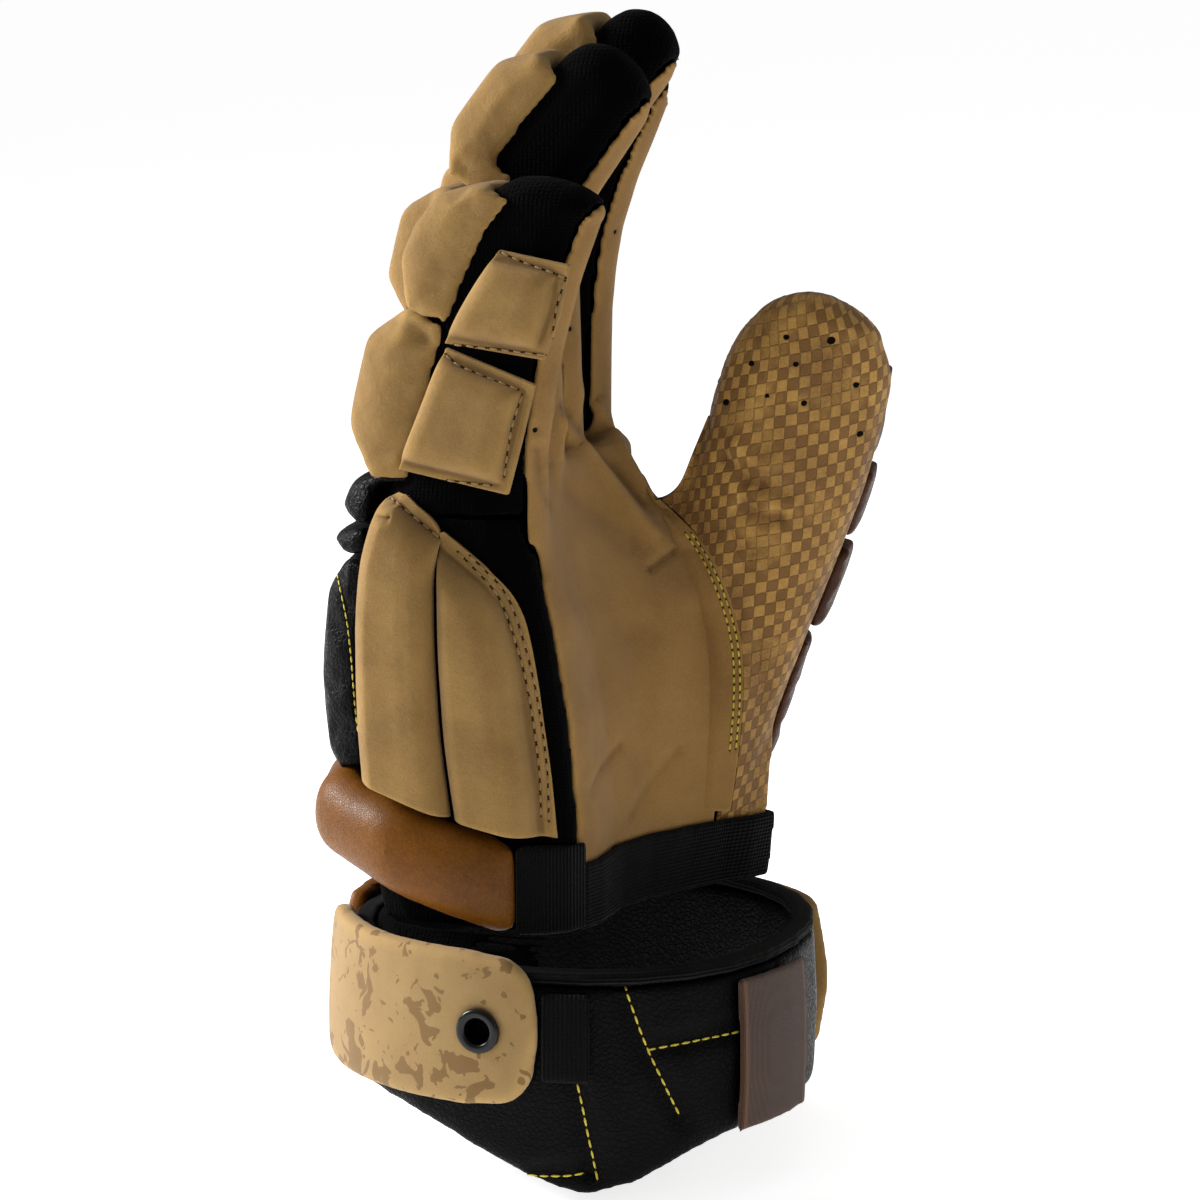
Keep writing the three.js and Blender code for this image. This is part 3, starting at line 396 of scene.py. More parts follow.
def evenCopy(label, step):
    shape = bmesh.new()
    shape.from_mesh(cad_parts[solidName(label)].data)
    bmesh.ops.remove_doubles(shape, verts=shape.verts, dist=0.005 * mm)
    obj = newObject(label, shape)
    even = obj.modifiers.new("even", "REMESH")
    even.mode = "VOXEL"
    even.voxel_size = step * mm
    bakeShape(obj)
    return obj


def finerFaces(obj):
    finer = obj.modifiers.new("finer", "SUBSURF")
    finer.levels = finer.render_levels = 1
    bakeShape(obj)


def relax(obj, rounds, low=(-1000,) * 3, high=(1000,) * 3):  # smooths a piece, or only what lies in a box in mm
    shape = bmesh.new()
    shape.from_mesh(obj.data)
    chosen = [v for v in shape.verts if all(a * mm < c < b * mm for a, c, b in zip(low, v.co, high))]
    for _ in range(rounds):
        bmesh.ops.smooth_vert(shape, verts=chosen, factor=0.5, use_axis_x=True, use_axis_y=True, use_axis_z=True)
    shape.to_mesh(obj.data)
    shape.free()


def thicken(obj, way, thickness):  # turns an open sheet to face one way and gives it a back
    shape = bmesh.new()
    shape.from_mesh(obj.data)
    bmesh.ops.recalc_face_normals(shape, faces=shape.faces)
    if sum(face.normal.dot(way) for face in shape.faces) < 0:
        bmesh.ops.reverse_faces(shape, faces=shape.faces)
    bmesh.ops.solidify(shape, geom=shape.faces, thickness=thickness * mm)
    shape.to_mesh(obj.data)
    shape.free()


def readVectors(rows, key):
    found = np.zeros(len(rows) * 3)
    rows.foreach_get(key, found)
    return found.reshape(-1, 3)


def coordsOf(obj):
    return readVectors(obj.data.vertices, "co")


def normalsOf(obj):
    return readVectors(obj.data.vertex_normals, "vector")


def setCoords(obj, coords):
    obj.data.vertices.foreach_set("co", coords.reshape(-1))
    obj.data.update()


def fillOut(obj, amount, lump=0.0, lumpSize=14.0, seed=0):
    coords, normals = coordsOf(obj), normalsOf(obj)
    push = np.full(len(coords), amount)
    if lump:
        push += [lump * noise.noise(Vector(c) / (lumpSize * mm) + Vector((seed, 0, 0))) for c in coords]
    setCoords(obj, coords + normals * push[:, None] * mm)


def markEdges(obj):  # how far each point bulges from its neighbours: rubbed on ridges, painted shade in folds
    coords, normals = coordsOf(obj), normalsOf(obj)
    ends = np.zeros(len(obj.data.edges) * 2, int)
    obj.data.edges.foreach_get("vertices", ends)
    ends = ends.reshape(-1, 2)
    count = np.bincount(ends.reshape(-1), minlength=len(coords)).clip(1)[:, None]
    bulge = coords.copy()
    for _ in range(4):
        total = np.zeros_like(bulge)
        np.add.at(total, ends[:, 0], bulge[ends[:, 1]])
        np.add.at(total, ends[:, 1], bulge[ends[:, 0]])
        bulge = total / count
    value = ((coords - bulge) * normals).sum(1) / (0.35 * mm)
    layer = obj.data.attributes.new("edge", "FLOAT", "POINT")
    layer.data.foreach_set("value", value.clip(-1, 1).astype(np.float32))


def treeOf(*objects):
    shape = bmesh.new()
    for obj in objects:
        shape.from_mesh(obj.data)
    tree = BVHTree.FromBMesh(shape)
    shape.free()
    return tree


def lengthsAlong(points):
    return np.concatenate([[0], np.cumsum(np.linalg.norm(np.diff(points, axis=0), axis=1))])


def smoothPath(points, step):  # a soft curve through a few points, as evenly spaced points
    given = np.array(points, float)
    ends = np.vstack([2 * given[0] - given[1], given, 2 * given[-1] - given[-2]])
    fine = []
    for k in range(len(given) - 1):
        a, b, c, d = ends[k:k + 4]
        t = np.linspace(0, 1, 24, endpoint=False)[:, None]
        fine.append(0.5 * (2 * b + (c - a) * t + (2 * a - 5 * b + 4 * c - d) * t**2 + (3 * b - a - 3 * c + d) * t**3))
    fine = np.vstack(fine + [given[-1:]])
    run = lengthsAlong(fine)
    at = np.linspace(0, run[-1], max(2, int(run[-1] / step) + 1))
    return np.stack([np.interp(at, run, fine[:, k]) for k in range(fine.shape[1])], 1)


def sight(px, py):  # the way from the eye through a point of the picture
    return (toRight * (px - middlePixel) * pixel + toTop * (middlePixel - py) * pixel
            - toCamera * shot["distance"] * mm).normalized()


def strike(tree, start, way):  # where a sight line meets a piece, and the normal that faces the viewer
    point, normal, _, _ = tree.ray_cast(start, way)
    return [] if point is None else [(point, normal if normal.dot(way) < 0 else -normal)]


def trace(pixels, tree, step=3.0):  # where sight lines through a line in the picture meet a piece
    return [hit for px, py in smoothPath(pixels, step) for hit in strike(tree, eye, sight(px, py))]


def look(points, tree, way, step=0.8):  # the same, looking along one direction through points in mm
    way = Vector(way)
    return [hit for spot in smoothPath(points, step) for hit in strike(tree, Vector(spot) * mm - way * 0.2, way)]


def aim(label, px, py):  # what the sight line through one pixel meets
    return trace([(px - 1, py), (px + 1, py)], treeOf(pieces[label]), 1.0)


def columns(hits):  # points and normals as arrays
    return [np.array([tuple(one) for one in column]) for column in zip(*hits)]


def press(obj, hits, depth, width, fade=0.15):  # sinks a groove in mm, or raises a fold where depth is negative
    if len(hits) < 2:
        return
    coords = coordsOf(obj)
    line, normals = columns(hits)
    share = np.linspace(0, 1, len(line))
    strength = np.minimum(1, np.minimum(share, 1 - share) / fade + 0.05) if fade else np.ones(len(line))
    near = np.where((np.abs(coords - line.mean(0)) < np.ptp(line, axis=0) / 2 + 3 * width * mm).all(1))[0]
    for start in range(0, len(near), 4000):
        chosen = near[start:start + 4000]
        gap = np.linalg.norm(coords[chosen][:, None] - line[None], axis=2)
        best = gap.argmin(1)
        push = depth * mm * strength[best] * np.exp(-(gap.min(1) / (width * mm)) ** 2)
        coords[chosen] -= normals[best] * push[:, None]
    setCoords(obj, coords)


def tuck(obj, spot, way, amount, radius):  # draws the surface near a point aside, out of sight
    coords = coordsOf(obj)
    gap = np.linalg.norm(coords - np.array(tuple(spot)), axis=1) / (radius * mm)
    setCoords(obj, coords + np.array(tuple(way)) * (amount * mm * (1 - gap.clip(0, 1) ** 2) ** 2)[:, None])


threads = {label: bmesh.new() for label in ("yellowThread", "tanThread", "needleHoles", "airHoles")}
seams = {  # pitch, stitch length and thread radius in mm, how far the thread stands up, and its thread
    "tanSeam": (3.5, 2.5, 0.34, 0.12, "tanThread"),
    "yellowSeam": (3.3, 2.8, 0.36, 0.15, "yellowThread"),
    "fineYellow": (2.5, 2.0, 0.3, 0.15, "yellowThread"),
}


def bead(shape, point, along, up, sizes):
    side = up.cross(along).normalized()
    up = along.cross(side).normalized()
    turned = Matrix((along, side, up)).transposed().to_4x4()
    matrix = Matrix.Translation(point) @ turned @ Matrix.Diagonal((*sizes, 1.0))
    bmesh.ops.create_uvsphere(shape, u_segments=6, v_segments=4, radius=mm, matrix=matrix @ Matrix.Rotation(
        math.pi / 2, 4, "Y"))


def sew(hits, seam):
    pitch, length, radius, lift, colour = seams[seam]
    if len(hits) < 3:
        return
    points, normals = columns(hits)
    run = lengthsAlong(points) / mm
    between = lambda values, at: Vector([np.interp(at, run, values[:, k]) for k in range(3)])
    for number, start in enumerate(np.arange(0.0, run[-1] - length, pitch)):
        middle = start + length / 2
        up = between(normals, middle).normalized()
        along = (between(points, start + length) - between(points, start)).normalized()
        wobble = 0.06 * noise.noise(Vector((number * 3.1, start, 0.5)))
        side = up.cross(along)
        spot = between(points, middle) + up * lift * mm + side * wobble * mm
        bead(threads[colour], spot, (along + side * wobble).normalized(), up, (length / 2, radius, radius * 0.85))
        # flat dark marks at both ends of each stitch: needle holes, with their shade painted on
        for end in (start - 0.1, start + length + 0.1):
            bead(threads["needleHoles"], between(points, max(0, min(end, run[-1]))) + up * 0.02 * mm, along, up,
                 (radius * 1.35, radius * 1.1, 0.12))


def sewDown(label, pixels, seam, step, depth, width):  # lays a seam in a groove along a line of the picture
    piece = pieces[label]
    press(piece, trace(pixels, treeOf(piece), step), depth, width, 0)
    sew(trace(pixels, treeOf(piece), step), seam)


def finish(obj, slotName, *nodes, finishName=None, fill=None):
    for polygon in obj.data.polygons:
        polygon.use_smooth = True
    markEdges(obj)
    obj.data.materials.clear()
    obj.data.materials.append(finishes[finishName or slotName])
    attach(obj, "root")
    if nodes:
        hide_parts(*nodes)
    pieces[obj.name] = obj


# Padded pieces that swell between their seams.
fingers = ("pinky", "ring", "middle", "index")
handNodes = ["palm_leather", "thumb_leather", "thumb_sleeve", "hand_liner", *[f"{f}_sleeve" for f in fingers]]
handTree = treeOf(*[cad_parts[name] for name in handNodes])
puffs = {  # step, smoothing rounds, growth, pressure of the cloth, farthest move, wrinkles, fill; lengths in mm
    "fingerPad": {"step": 1.7, "rounds": 3, "grow": 0.6, "pressure": 5.0, "most": 1.3, "wrinkle": 0.01, "fill": 0.8},
    "backPad": {"step": 1.8, "rounds": 3, "grow": 0.3, "pressure": 4.0, "most": 1.2, "wrinkle": 0.02, "fill": 0.6},
    "thumbPad": {"step": 1.8, "rounds": 4, "grow": 0.4, "pressure": 4.0, "most": 1.4, "wrinkle": 0.02, "fill": 0.7},
    "bar": {"step": 2.0, "rounds": 6, "grow": 0.7, "pressure": 4.0, "most": 1.2, "wrinkle": 0.02, "fill": 0.8},
}
pads = [  # label, kind, slot, finish
    *[(f"{f}Pad{k}", "fingerPad", "tan_suede", None) for f in fingers for k in range(1, 3 if f == "pinky" else 4)],
    *[(f"thumbPad{k}", "thumbPad", "brown_leather", "dark_hide") for k in range(1, 5)],
    *[(f"{p}Pad{c}", "backPad", "black_leather", None) for p in ("back", "flex")
      for c in ("Ulnar", "Middle", "Radial")],
    *[(f"knucklePad{f.title()}", "backPad", "black_leather", None) for f in fingers],
    ("wristBar", "bar", "brown_leather", None),
]
clothScale = 3.0  # pads are small, so they are swollen at three times their size
clothFrames = 20
heldGap = 2.2 * mm  # what lies nearer to the hand than this doesn't swell
clothSettings = {"quality": 5, "mass": 0.3, "tension_stiffness": 15, "compression_stiffness": 15,
                 "shear_stiffness": 5, "bending_stiffness": 0.5, "use_pressure": True, "vertex_group_mass": "held"}


def startPuff(label, kind):
    obj, puff = pieces[label], puffs[kind]
    coords = coordsOf(obj)
    held = obj.vertex_groups.new(name="held")
    for index, spot in enumerate(coords):
        if handTree.find_nearest(Vector(spot))[3] < heldGap:
            held.add([index], 1.0, "REPLACE")
    setCoords(obj, coords * clothScale)
    swell = obj.modifiers.new("swell", "CLOTH")
    for key, value in clothSettings.items():
        setattr(swell.settings, key, value)
    swell.settings.uniform_pressure_force = puff["pressure"]
    swell.settings.effector_weights.gravity = 0
    swell.settings.shrink_min = swell.settings.shrink_max = -puff["wrinkle"]
    swell.collision_settings.use_collision = False
    swell.point_cache.frame_start = 1
    swell.point_cache.frame_end = clothFrames
    return coords


stretches = {  # lean of a finger pad in degrees, how much longer it is made, and the share of it that stays put
    "pinkyPad1": (9, 1.05, 0.5), "pinkyPad2": (22, 1.12, 0.3), "ringPad1": (0, 1.06, 0.5), "ringPad2": (17, 1.1, 0.5),
    "ringPad3": (36, 1.2, 0.1), "middlePad1": (0, 1.06, 0.5), "middlePad2": (15, 1.1, 0.5),
    "middlePad3": (37, 1.2, 0.1), "indexPad1": (2, 1.06, 0.5), "indexPad2": (12, 1.08, 0.5),
    "indexPad3": (24, 1.1, 0.3),
}


def stretch(obj, lean, factor, still):
    way = np.array([math.sin(math.radians(lean)), 0, math.cos(math.radians(lean))])
    coords = coordsOf(obj)
    far = coords @ way
    rest = far.min() + (far.max() - far.min()) * still
    setCoords(obj, coords + ((far - rest) * (factor - 1))[:, None] * way)


def lowerTip(obj, start=198.0, keep=0.55):  # the little finger's tip is shorter and flatter than the others
    coords = coordsOf(obj)
    tip = (coords[:, 1] < -24.8 * mm) & (coords[:, 2] > start * mm)
    coords[tip, 2] = start * mm + (coords[tip, 2] - start * mm) * keep
    setCoords(obj, coords)


for order, (label, kind, slotName, finishName) in enumerate(pads):
    pieces[label] = piece = evenCopy(label, puffs[kind]["step"])
    relax(piece, puffs[kind]["rounds"])
    fillOut(piece, puffs[kind]["grow"], 0.2, 13.0, order * 7.3)
    if label in stretches:
        stretch(piece, *stretches[label])
    if label == "pinkyPad2":
        lowerTip(piece, 196.0, 0.6)
before = {label: startPuff(label, kind) for label, kind, _, _ in pads}
for number in range(1, clothFrames + 1):
    scene.frame_set(number)
for label, kind, _, _ in pads:
    bakeShape(pieces[label])
    moved = coordsOf(pieces[label]) / clothScale - before[label]
    reach = np.linalg.norm(moved, axis=1).clip(1e-9)[:, None]
    cap = puffs[kind]["most"] * mm
    setCoords(pieces[label], before[label] + moved * np.minimum(1, cap * np.tanh(reach / cap) / reach))
scene.frame_set(1)
relax(pieces["wristBar"], 14)
fillOut(pieces["wristBar"], 0.4)
print("pads swollen:", len(pads))

# Folds where the pads bend, as points of the picture, with depth and width in mm.
folds = {
    "ringPad1": [([(345, 305), (380, 300), (400, 290), (425, 300)], 1.2, 2.2),
                 ([(420, 190), (428, 215), (445, 222)], 0.9, 1.8)],
    "ringPad2": [([(445, 222), (455, 205), (465, 190)], 0.8, 1.6)],
    "ringPad3": [([(452, 155), (462, 168), (473, 178)], 1.0, 1.6), ([(440, 150), (458, 160)], 0.7, 1.4)],
    "pinkyPad1": [([(382, 318), (410, 326), (436, 343)], 1.3, 1.9), ([(400, 342), (420, 342), (440, 345)], 0.9, 1.6)],
    "pinkyPad2": [([(395, 305), (412, 320), (438, 343)], 1.2, 1.8), ([(398, 290), (420, 312)], 0.6, 1.6)],
}
for label, rows in folds.items():
    for pixels, depth, width in rows:
        press(pieces[label], trace(pixels, treeOf(pieces[label])), depth, width, 0.3)
for label, kind, slotName, finishName in pads:
    finerFaces(pieces[label])
    finish(pieces[label], slotName, solidName(label), finishName=finishName, fill=puffs[kind]["fill"])


# Pads with a flat sewn border: left and right lines run up the pad as (x, z) in mm.
pinkySide = {"side": -1, "seat": 48.9, "radius": 8.5, "roll": ["left"]}
indexSide = {"side": 1, "seat": 47.9, "height": 5.0, "radius": 6.5, "roll": ["left"],
             "border": {"right": 2.8, "low": 2.6, "top": 2.6}}
cushions = {
    "pinkySidePad1": {**pinkySide, "height": 7.2, "border": {"right": 3.1, "low": 3.1, "top": 3.0},
                      "left": [(-18.5, 128.8), (-11.5, 145), (-3.8, 163.8)],
                      "right": [(14.6, 123.7), (18.6, 138.5), (22.8, 154.9)]},
    "pinkySidePad2": {**pinkySide, "height": 7.0, "border": {"right": 3.1, "low": 2.8, "top": 3.0},
                      "left": [(-4.4, 164.6), (3.0, 177.5), (12.2, 191.3)],
                      "right": [(25.4, 161.5), (29.8, 173.5), (32.9, 188.1)]},
    "flankRollBack": {"side": -1, "height": 11.0, "radius": 10.0, "roll": ["left", "right"],
                      "left": [(-28.2, 42.6), (-29.2, 58), (-29.6, 78), (-29.0, 100), (-24.5, 118), (-18.5, 122.6)],
                      "right": [(0.4, 33.4), (-2.0, 53), (-3.6, 75), (-4.4, 98), (-5.0, 113.2), (-16.0, 122.4)],
                      "crown": [(-21.0, 123.6), (-16.0, 122.0), (0.9, 109.8), (9.8, 102.8)],
                      "border": {"crown": 2.9}},
    "flankRollFront": {"side": -1, "height": 10.0, "radius": 9.5, "roll": ["left"], "border": {"right": 4.6},
                       "left": [(0.9, 33.4), (-1.6, 53), (-3.2, 75), (-4.1, 98), (-4.6, 106), (-4.7, 112.7)],
                       "right": [(28.4, 27.6), (26.4, 49), (22.6, 75), (18.6, 91), (11.0, 101.6), (-4.0, 113.0)]},
    "indexSidePad1": {**indexSide, "left": [(-17.6, 132.8), (-16.8, 160.6)], "right": [(0.2, 132.8), (1.1, 160.6)]},
    "indexSidePad2": {**indexSide, "left": [(-15.5, 166.2), (-8.3, 195.2)], "right": [(0.9, 164.2), (7.0, 190.4)]},
    "indexSidePad3": {**indexSide, "left": [(-6.3, 199.2), (4.4, 221.0)], "right": [(7.9, 194.2), (16.6, 214.6)],
                      "height": 4.8},
    "flankRollIndex": {"side": 1, "height": 10.5, "radius": 9.5, "roll": ["left"],
                       "border": {"right": 3.4, "top": 3.0}, "left": [(-29.2, 35.0), (-30.6, 70), (-28.0, 111.4)],
                       "right": [(5.4, 28.2), (4.2, 68), (2.6, 111.4)]},
}
borderThickness = 1.6
usualSeat = 46.5  # where no solid of the hand lies below


def reachTo(spots, line):  # distance of points from a line of points, all flat
    line = np.array(line, float)
    best = np.full(len(spots), 1e9)
    for start, end in zip(line[:-1], line[1:]):
        along = end - start
        share = (((spots - start) @ along) / (along @ along)).clip(0, 1)
        best = np.minimum(best, np.linalg.norm(spots - start - share[:, None] * along, axis=1))
    return best


def seatAt(row, x, z):  # how far out the hand's surface lies below a point, in mm
    if "seat" in row:
        return row["seat"]
    side = row["side"]
    hit = handTree.ray_cast(Vector((x, side * 120, z)) * mm, Vector((0, -side, 0)))[0]
    return hit.y / mm * side if hit is not None and hit.y * side > 0.04 else usualSeat


def cushion(label, row):
    lines = {key: smoothPath(row[key], 1.0) if len(row[key]) > 2 else np.array(row[key], float)
             for key in ("left", "right")}
    left, right = lines["left"], lines["right"]
    lines.update(low=[left[0], right[0]], top=[left[-1], right[-1]], crown=row.get("crown"))
    shape = bmesh.new()
    wide, tall = np.linalg.norm(right[0] - left[0]), np.linalg.norm(left[-1] - left[0])
    bmesh.ops.create_grid(shape, x_segments=max(16, int(wide / 0.65)), y_segments=max(20, int(tall / 0.8)), size=1.0)
    uv = np.array([(v.co.x / 2 + 0.5, v.co.y / 2 + 0.5) for v in shape.verts])
    start, end = (np.stack([np.interp(uv[:, 1], np.linspace(0, 1, len(line)), line[:, k]) for k in range(2)], 1)
                  for line in (left, right))
    flat = start + (end - start) * uv[:, :1]
    rise = np.ones(len(flat))
    for key, width in row["border"].items():
        far = ((reachTo(flat, lines[key]) - width) / row["radius"]).clip(0, 1)
        rise *= np.sqrt(1 - (1 - far) ** 2.4)
    for key in row["roll"]:
        far = ((reachTo(flat, lines[key]) + 0.2) / (row["radius"] * 0.62)).clip(0, 1)
        rise *= 0.12 + 0.88 * np.sqrt(1 - (1 - far) ** 2)
    for vertex, (x, z), share in zip(shape.verts, flat, rise):
        lump = noise.noise(Vector((x / 11, z / 14, len(label) % 7)))
        level = borderThickness + (row["height"] - borderThickness) * share + 0.28 * lump * share
        vertex.co = Vector((x, row["side"] * (seatAt(row, x, z) + level), z)) * mm
    obj = newObject(label, shape)
    relax(obj, 2)
    thicken(obj, Vector((0, row["side"], 0)), 1.5)
    return obj


for label, row in cushions.items():
    pieces[label] = cushion(label, row)
print("sewn pads made:", len(cushions))

padSeams = {  # seams on the pads, as points of the picture
    "pinkySidePad2": [[(501, 252), (523, 262), (566, 278)], [(565, 281), (556, 310), (551, 350)],
                      [(448, 344), (487, 348), (546, 355)]],
    "pinkySidePad1": [[(444, 353), (462, 367), (524, 392)], [(522, 395), (511, 430), (504, 478)],
                      [(400, 470), (420, 477), (498, 486)]],
    "flankRollBack": [[(391, 498), (420, 522), (452, 548)]],
    "flankRollFront": [[(458, 552), (492, 588), (505, 612), (522, 665), (532, 715), (539, 770), (541, 822)],
                       [(470, 556), (500, 586), (514, 612), (530, 665), (540, 715), (547, 770), (549, 822)]],
}
for label, rows in padSeams.items():
    for pixels in rows:
        sewDown(label, pixels, "tanSeam", 2.0, 0.35, 0.8)
for label in ("indexSidePad1", "indexSidePad2", "indexSidePad3", "flankRollIndex"):  # the side that the picture hides
    row = cushions[label]
    (lowLeft, highLeft), (lowRight, highRight) = (row[key][::len(row[key]) - 1] for key in ("left", "right"))
    inset = 1.7
    corners = [(lowLeft[0] + 2, lowLeft[1] + inset), (lowRight[0] - inset, lowRight[1] + inset),
               (highRight[0] - inset, highRight[1] - inset), (highLeft[0] + 2, highLeft[1] - inset)]
    for first in range(1 if label == "flankRollIndex" else 0, 3):
        path = [(x, 60.0, z) for x, z in corners[first:first + 2]]
        sew(look(path, treeOf(pieces[label]), (0, -1, 0)), "tanSeam")
for label in cushions:
    finish(pieces[label], "tan_suede", solidName(label), fill=0.6)
print("seams sewn on pads")

# Leather, knit and webbing that follow the hand and the wrist.
sheets = {  # step, smoothing rounds, growth and slot; lengths in mm
    "palmLeather": (1.0, 11, 0.4, "palm_leather"),
    "thumbLeather": (1.0, 12, 0.25, "check_leather"),
    "thumbSleeve": (1.3, 6, -0.3, "black_knit"),
    "handLiner": (1.4, 5, 0.1, "black_knit"),
    **{f"{f}Sleeve": (1.3, 9, 0.0, "black_knit") for f in fingers},
    "palmHem": (1.0, 4, 0.1, "webbing"),
    "wristTabPinky": (0.9, 3, 0.1, "webbing"),
    "wristTabIndex": (0.9, 3, 0.1, "webbing"),
    "cuffWrap": (1.3, 8, 0.15, "black_leather"),
    "cuffBinding": (1.1, 4, 0.3, "webbing"),
    "cuffGusset": (1.3, 4, 0.1, "black_knit"),
    "cuffPlatePinky": (1.1, 12, 0.35, "printed_plate"),
    "cuffPlateBack": (1.1, 8, 0.3, "brown_leather"),
    "cuffPlateThumb": (1.1, 8, 0.3, "tan_suede"),
    "cuffStrap": (0.9, 3, 0.1, "webbing"),
    "cuffLabel": (0.9, 3, 0.1, "label_weave"),
}
cuffX = 16.5 * mm  # the cuff's middle


def roundCuff(coords):  # angle and distance round the cuff's middle
    flat = coords[:, :2] - np.array([cuffX, 0])
    return np.arctan2(flat[:, 1], flat[:, 0]), np.linalg.norm(flat, axis=1)


def setRound(obj, coords, angle, reach):
    coords[:, 0], coords[:, 1] = cuffX + reach * np.cos(angle), reach * np.sin(angle)
    setCoords(obj, coords)


def ribMap(obj):  # millimetres round the cuff or hand (X) and up it (Y), for woven ribs
    coords = coordsOf(obj)
    around, up = roundCuff(coords)[0] * 62.0, coords[:, 2] / mm
    if obj.name == "cuffLabel":
        around -= around.min()
    pair = (up, around) if obj.name in ("palmHem", "cuffBinding") else (around, up)
    layer = obj.data.attributes.new("ribs", "FLOAT_VECTOR", "POINT")
    layer.data.foreach_set("vector", np.stack([*pair, around * 0], 1).astype(np.float32).reshape(-1))


thumbLine = {  # height, and the middle of the thumb leather there in X and Y, in mm
    "z": [5, 31, 62, 90, 115, 137, 156],
    "x": [36, 42, 49, 56, 61.6, 67.2, 71.4],
    "y": [31, 35.4, 38.5, 38.5, 38, 37, 37.4],
}


def unroll(obj):  # lays the thumb leather flat: across the thumb and up it, in units of 10 cm
    coords = coordsOf(obj) / mm
    x, y = (coords[:, k] - np.interp(coords[:, 2], thumbLine["z"], thumbLine[key]) for k, key in enumerate("xy"))
    lean, slant = math.radians(12), math.radians(11)
    across = x * math.cos(lean) + y * math.sin(lean)
    back = y * math.cos(lean) - x * math.sin(lean) + 14
    flat = across + np.sign(across) * back.clip(0, None) * np.clip(np.abs(across) / 12, 0, 1)
    turned = np.stack([flat * math.cos(slant) + coords[:, 2] * math.sin(slant),
                       coords[:, 2] * math.cos(slant) - flat * math.sin(slant)], 1)
    uv = obj.data.uv_layers.new(name="unrolled")
    corners = np.zeros(len(obj.data.loops), int)
    obj.data.loops.foreach_get("vertex_index", corners)
    uv.data.foreach_set("uv", (turned[corners] / 100).astype(np.float32).reshape(-1))


cuffTurns = {"cuffLabel": (-18.4, -16.8, 1.35), "cuffStrap": (-73.0, -76.5, 0.95)}  # middle now, wanted, widening


def turnRound(obj, now, wanted, wider):  # shifts a piece round the cuff, in degrees
    coords = coordsOf(obj)
    angle, reach = roundCuff(coords)
    setRound(obj, coords, np.radians(wanted + (np.degrees(angle) - now) * wider), reach)


def squareEnds(obj, corner=9.0, radius=66.5):  # gives the plate straight ends with round corners, in mm
    coords = coordsOf(obj)
    angle, reach = roundCuff(coords)
    middle, z = (angle.max() + angle.min()) / 2, coords[:, 2] / mm
    levels = np.linspace(z.min(), z.max(), 40)
    for sign in (-1, 1):
        away = (angle - middle) * sign
        edge = np.array([away[np.abs(z - level) < 1.6].max() for level in levels])
        near = z[away > 0.8 * away.max()]
        inset = np.clip(corner - np.minimum(levels - near.min(), near.max() - levels), 0, corner)
        target = edge.max() - (corner - np.sqrt((corner ** 2 - inset ** 2).clip(0))) / radius
        share = np.interp(z, levels, np.maximum(target, edge) / edge)
        pull = (away / away.max()).clip(0, 1) ** 2
        angle = np.where(away > 0, middle + sign * away * (1 + (share - 1) * pull), angle)
    setRound(obj, coords, angle, reach)


thumbEdge = [(705, 414), (715, 388), (728, 353), (740, 331), (757, 312), (775, 299), (794, 293), (812, 291.5),
             (831, 295), (849, 304), (865, 315), (879, 331), (886, 350), (890.5, 368), (892, 389), (889, 414)]


def roundTip(obj):  # brings the thumb's outline in the picture to a smooth line
    middle = np.array([801.0, 382.0])
    coords = coordsOf(obj)
    away = coords - np.array(eye)
    deep = -(away @ np.array(toCamera))
    pixelThere = deep / shot["distance"] * (pixel / mm)
    flat = np.stack([middlePixel + away @ np.array(toRight) / pixelThere,
                     middlePixel - away @ np.array(toTop) / pixelThere], 1) - middle
    angle, reach = np.arctan2(flat[:, 1], flat[:, 0]), np.linalg.norm(flat, axis=1)
    line = smoothPath(thumbEdge, 1.0) - middle
    wanted = np.interp(angle, *zip(*sorted(zip(np.arctan2(line[:, 1], line[:, 0]), np.linalg.norm(line, axis=1)))))
    steps = np.linspace(-math.pi, math.pi, 91)
    near = np.array([reach[(np.abs(angle - step) < 0.06) & (reach < 130)].max(initial=1) for step in steps])
    share = np.clip(wanted / np.interp(angle, steps, near), 0.85, 1.15)
    use = np.clip((-np.sin(angle) + 0.35) / 0.4, 0, 1) * (reach < 150)
    move = flat * ((share - 1) * use * np.clip(reach / np.interp(angle, steps, near), 0, 1) ** 3)[:, None]
    setCoords(obj, coords + pixelThere[:, None] * (move[:, :1] * np.array(toRight) - move[:, 1:] * np.array(toTop)))


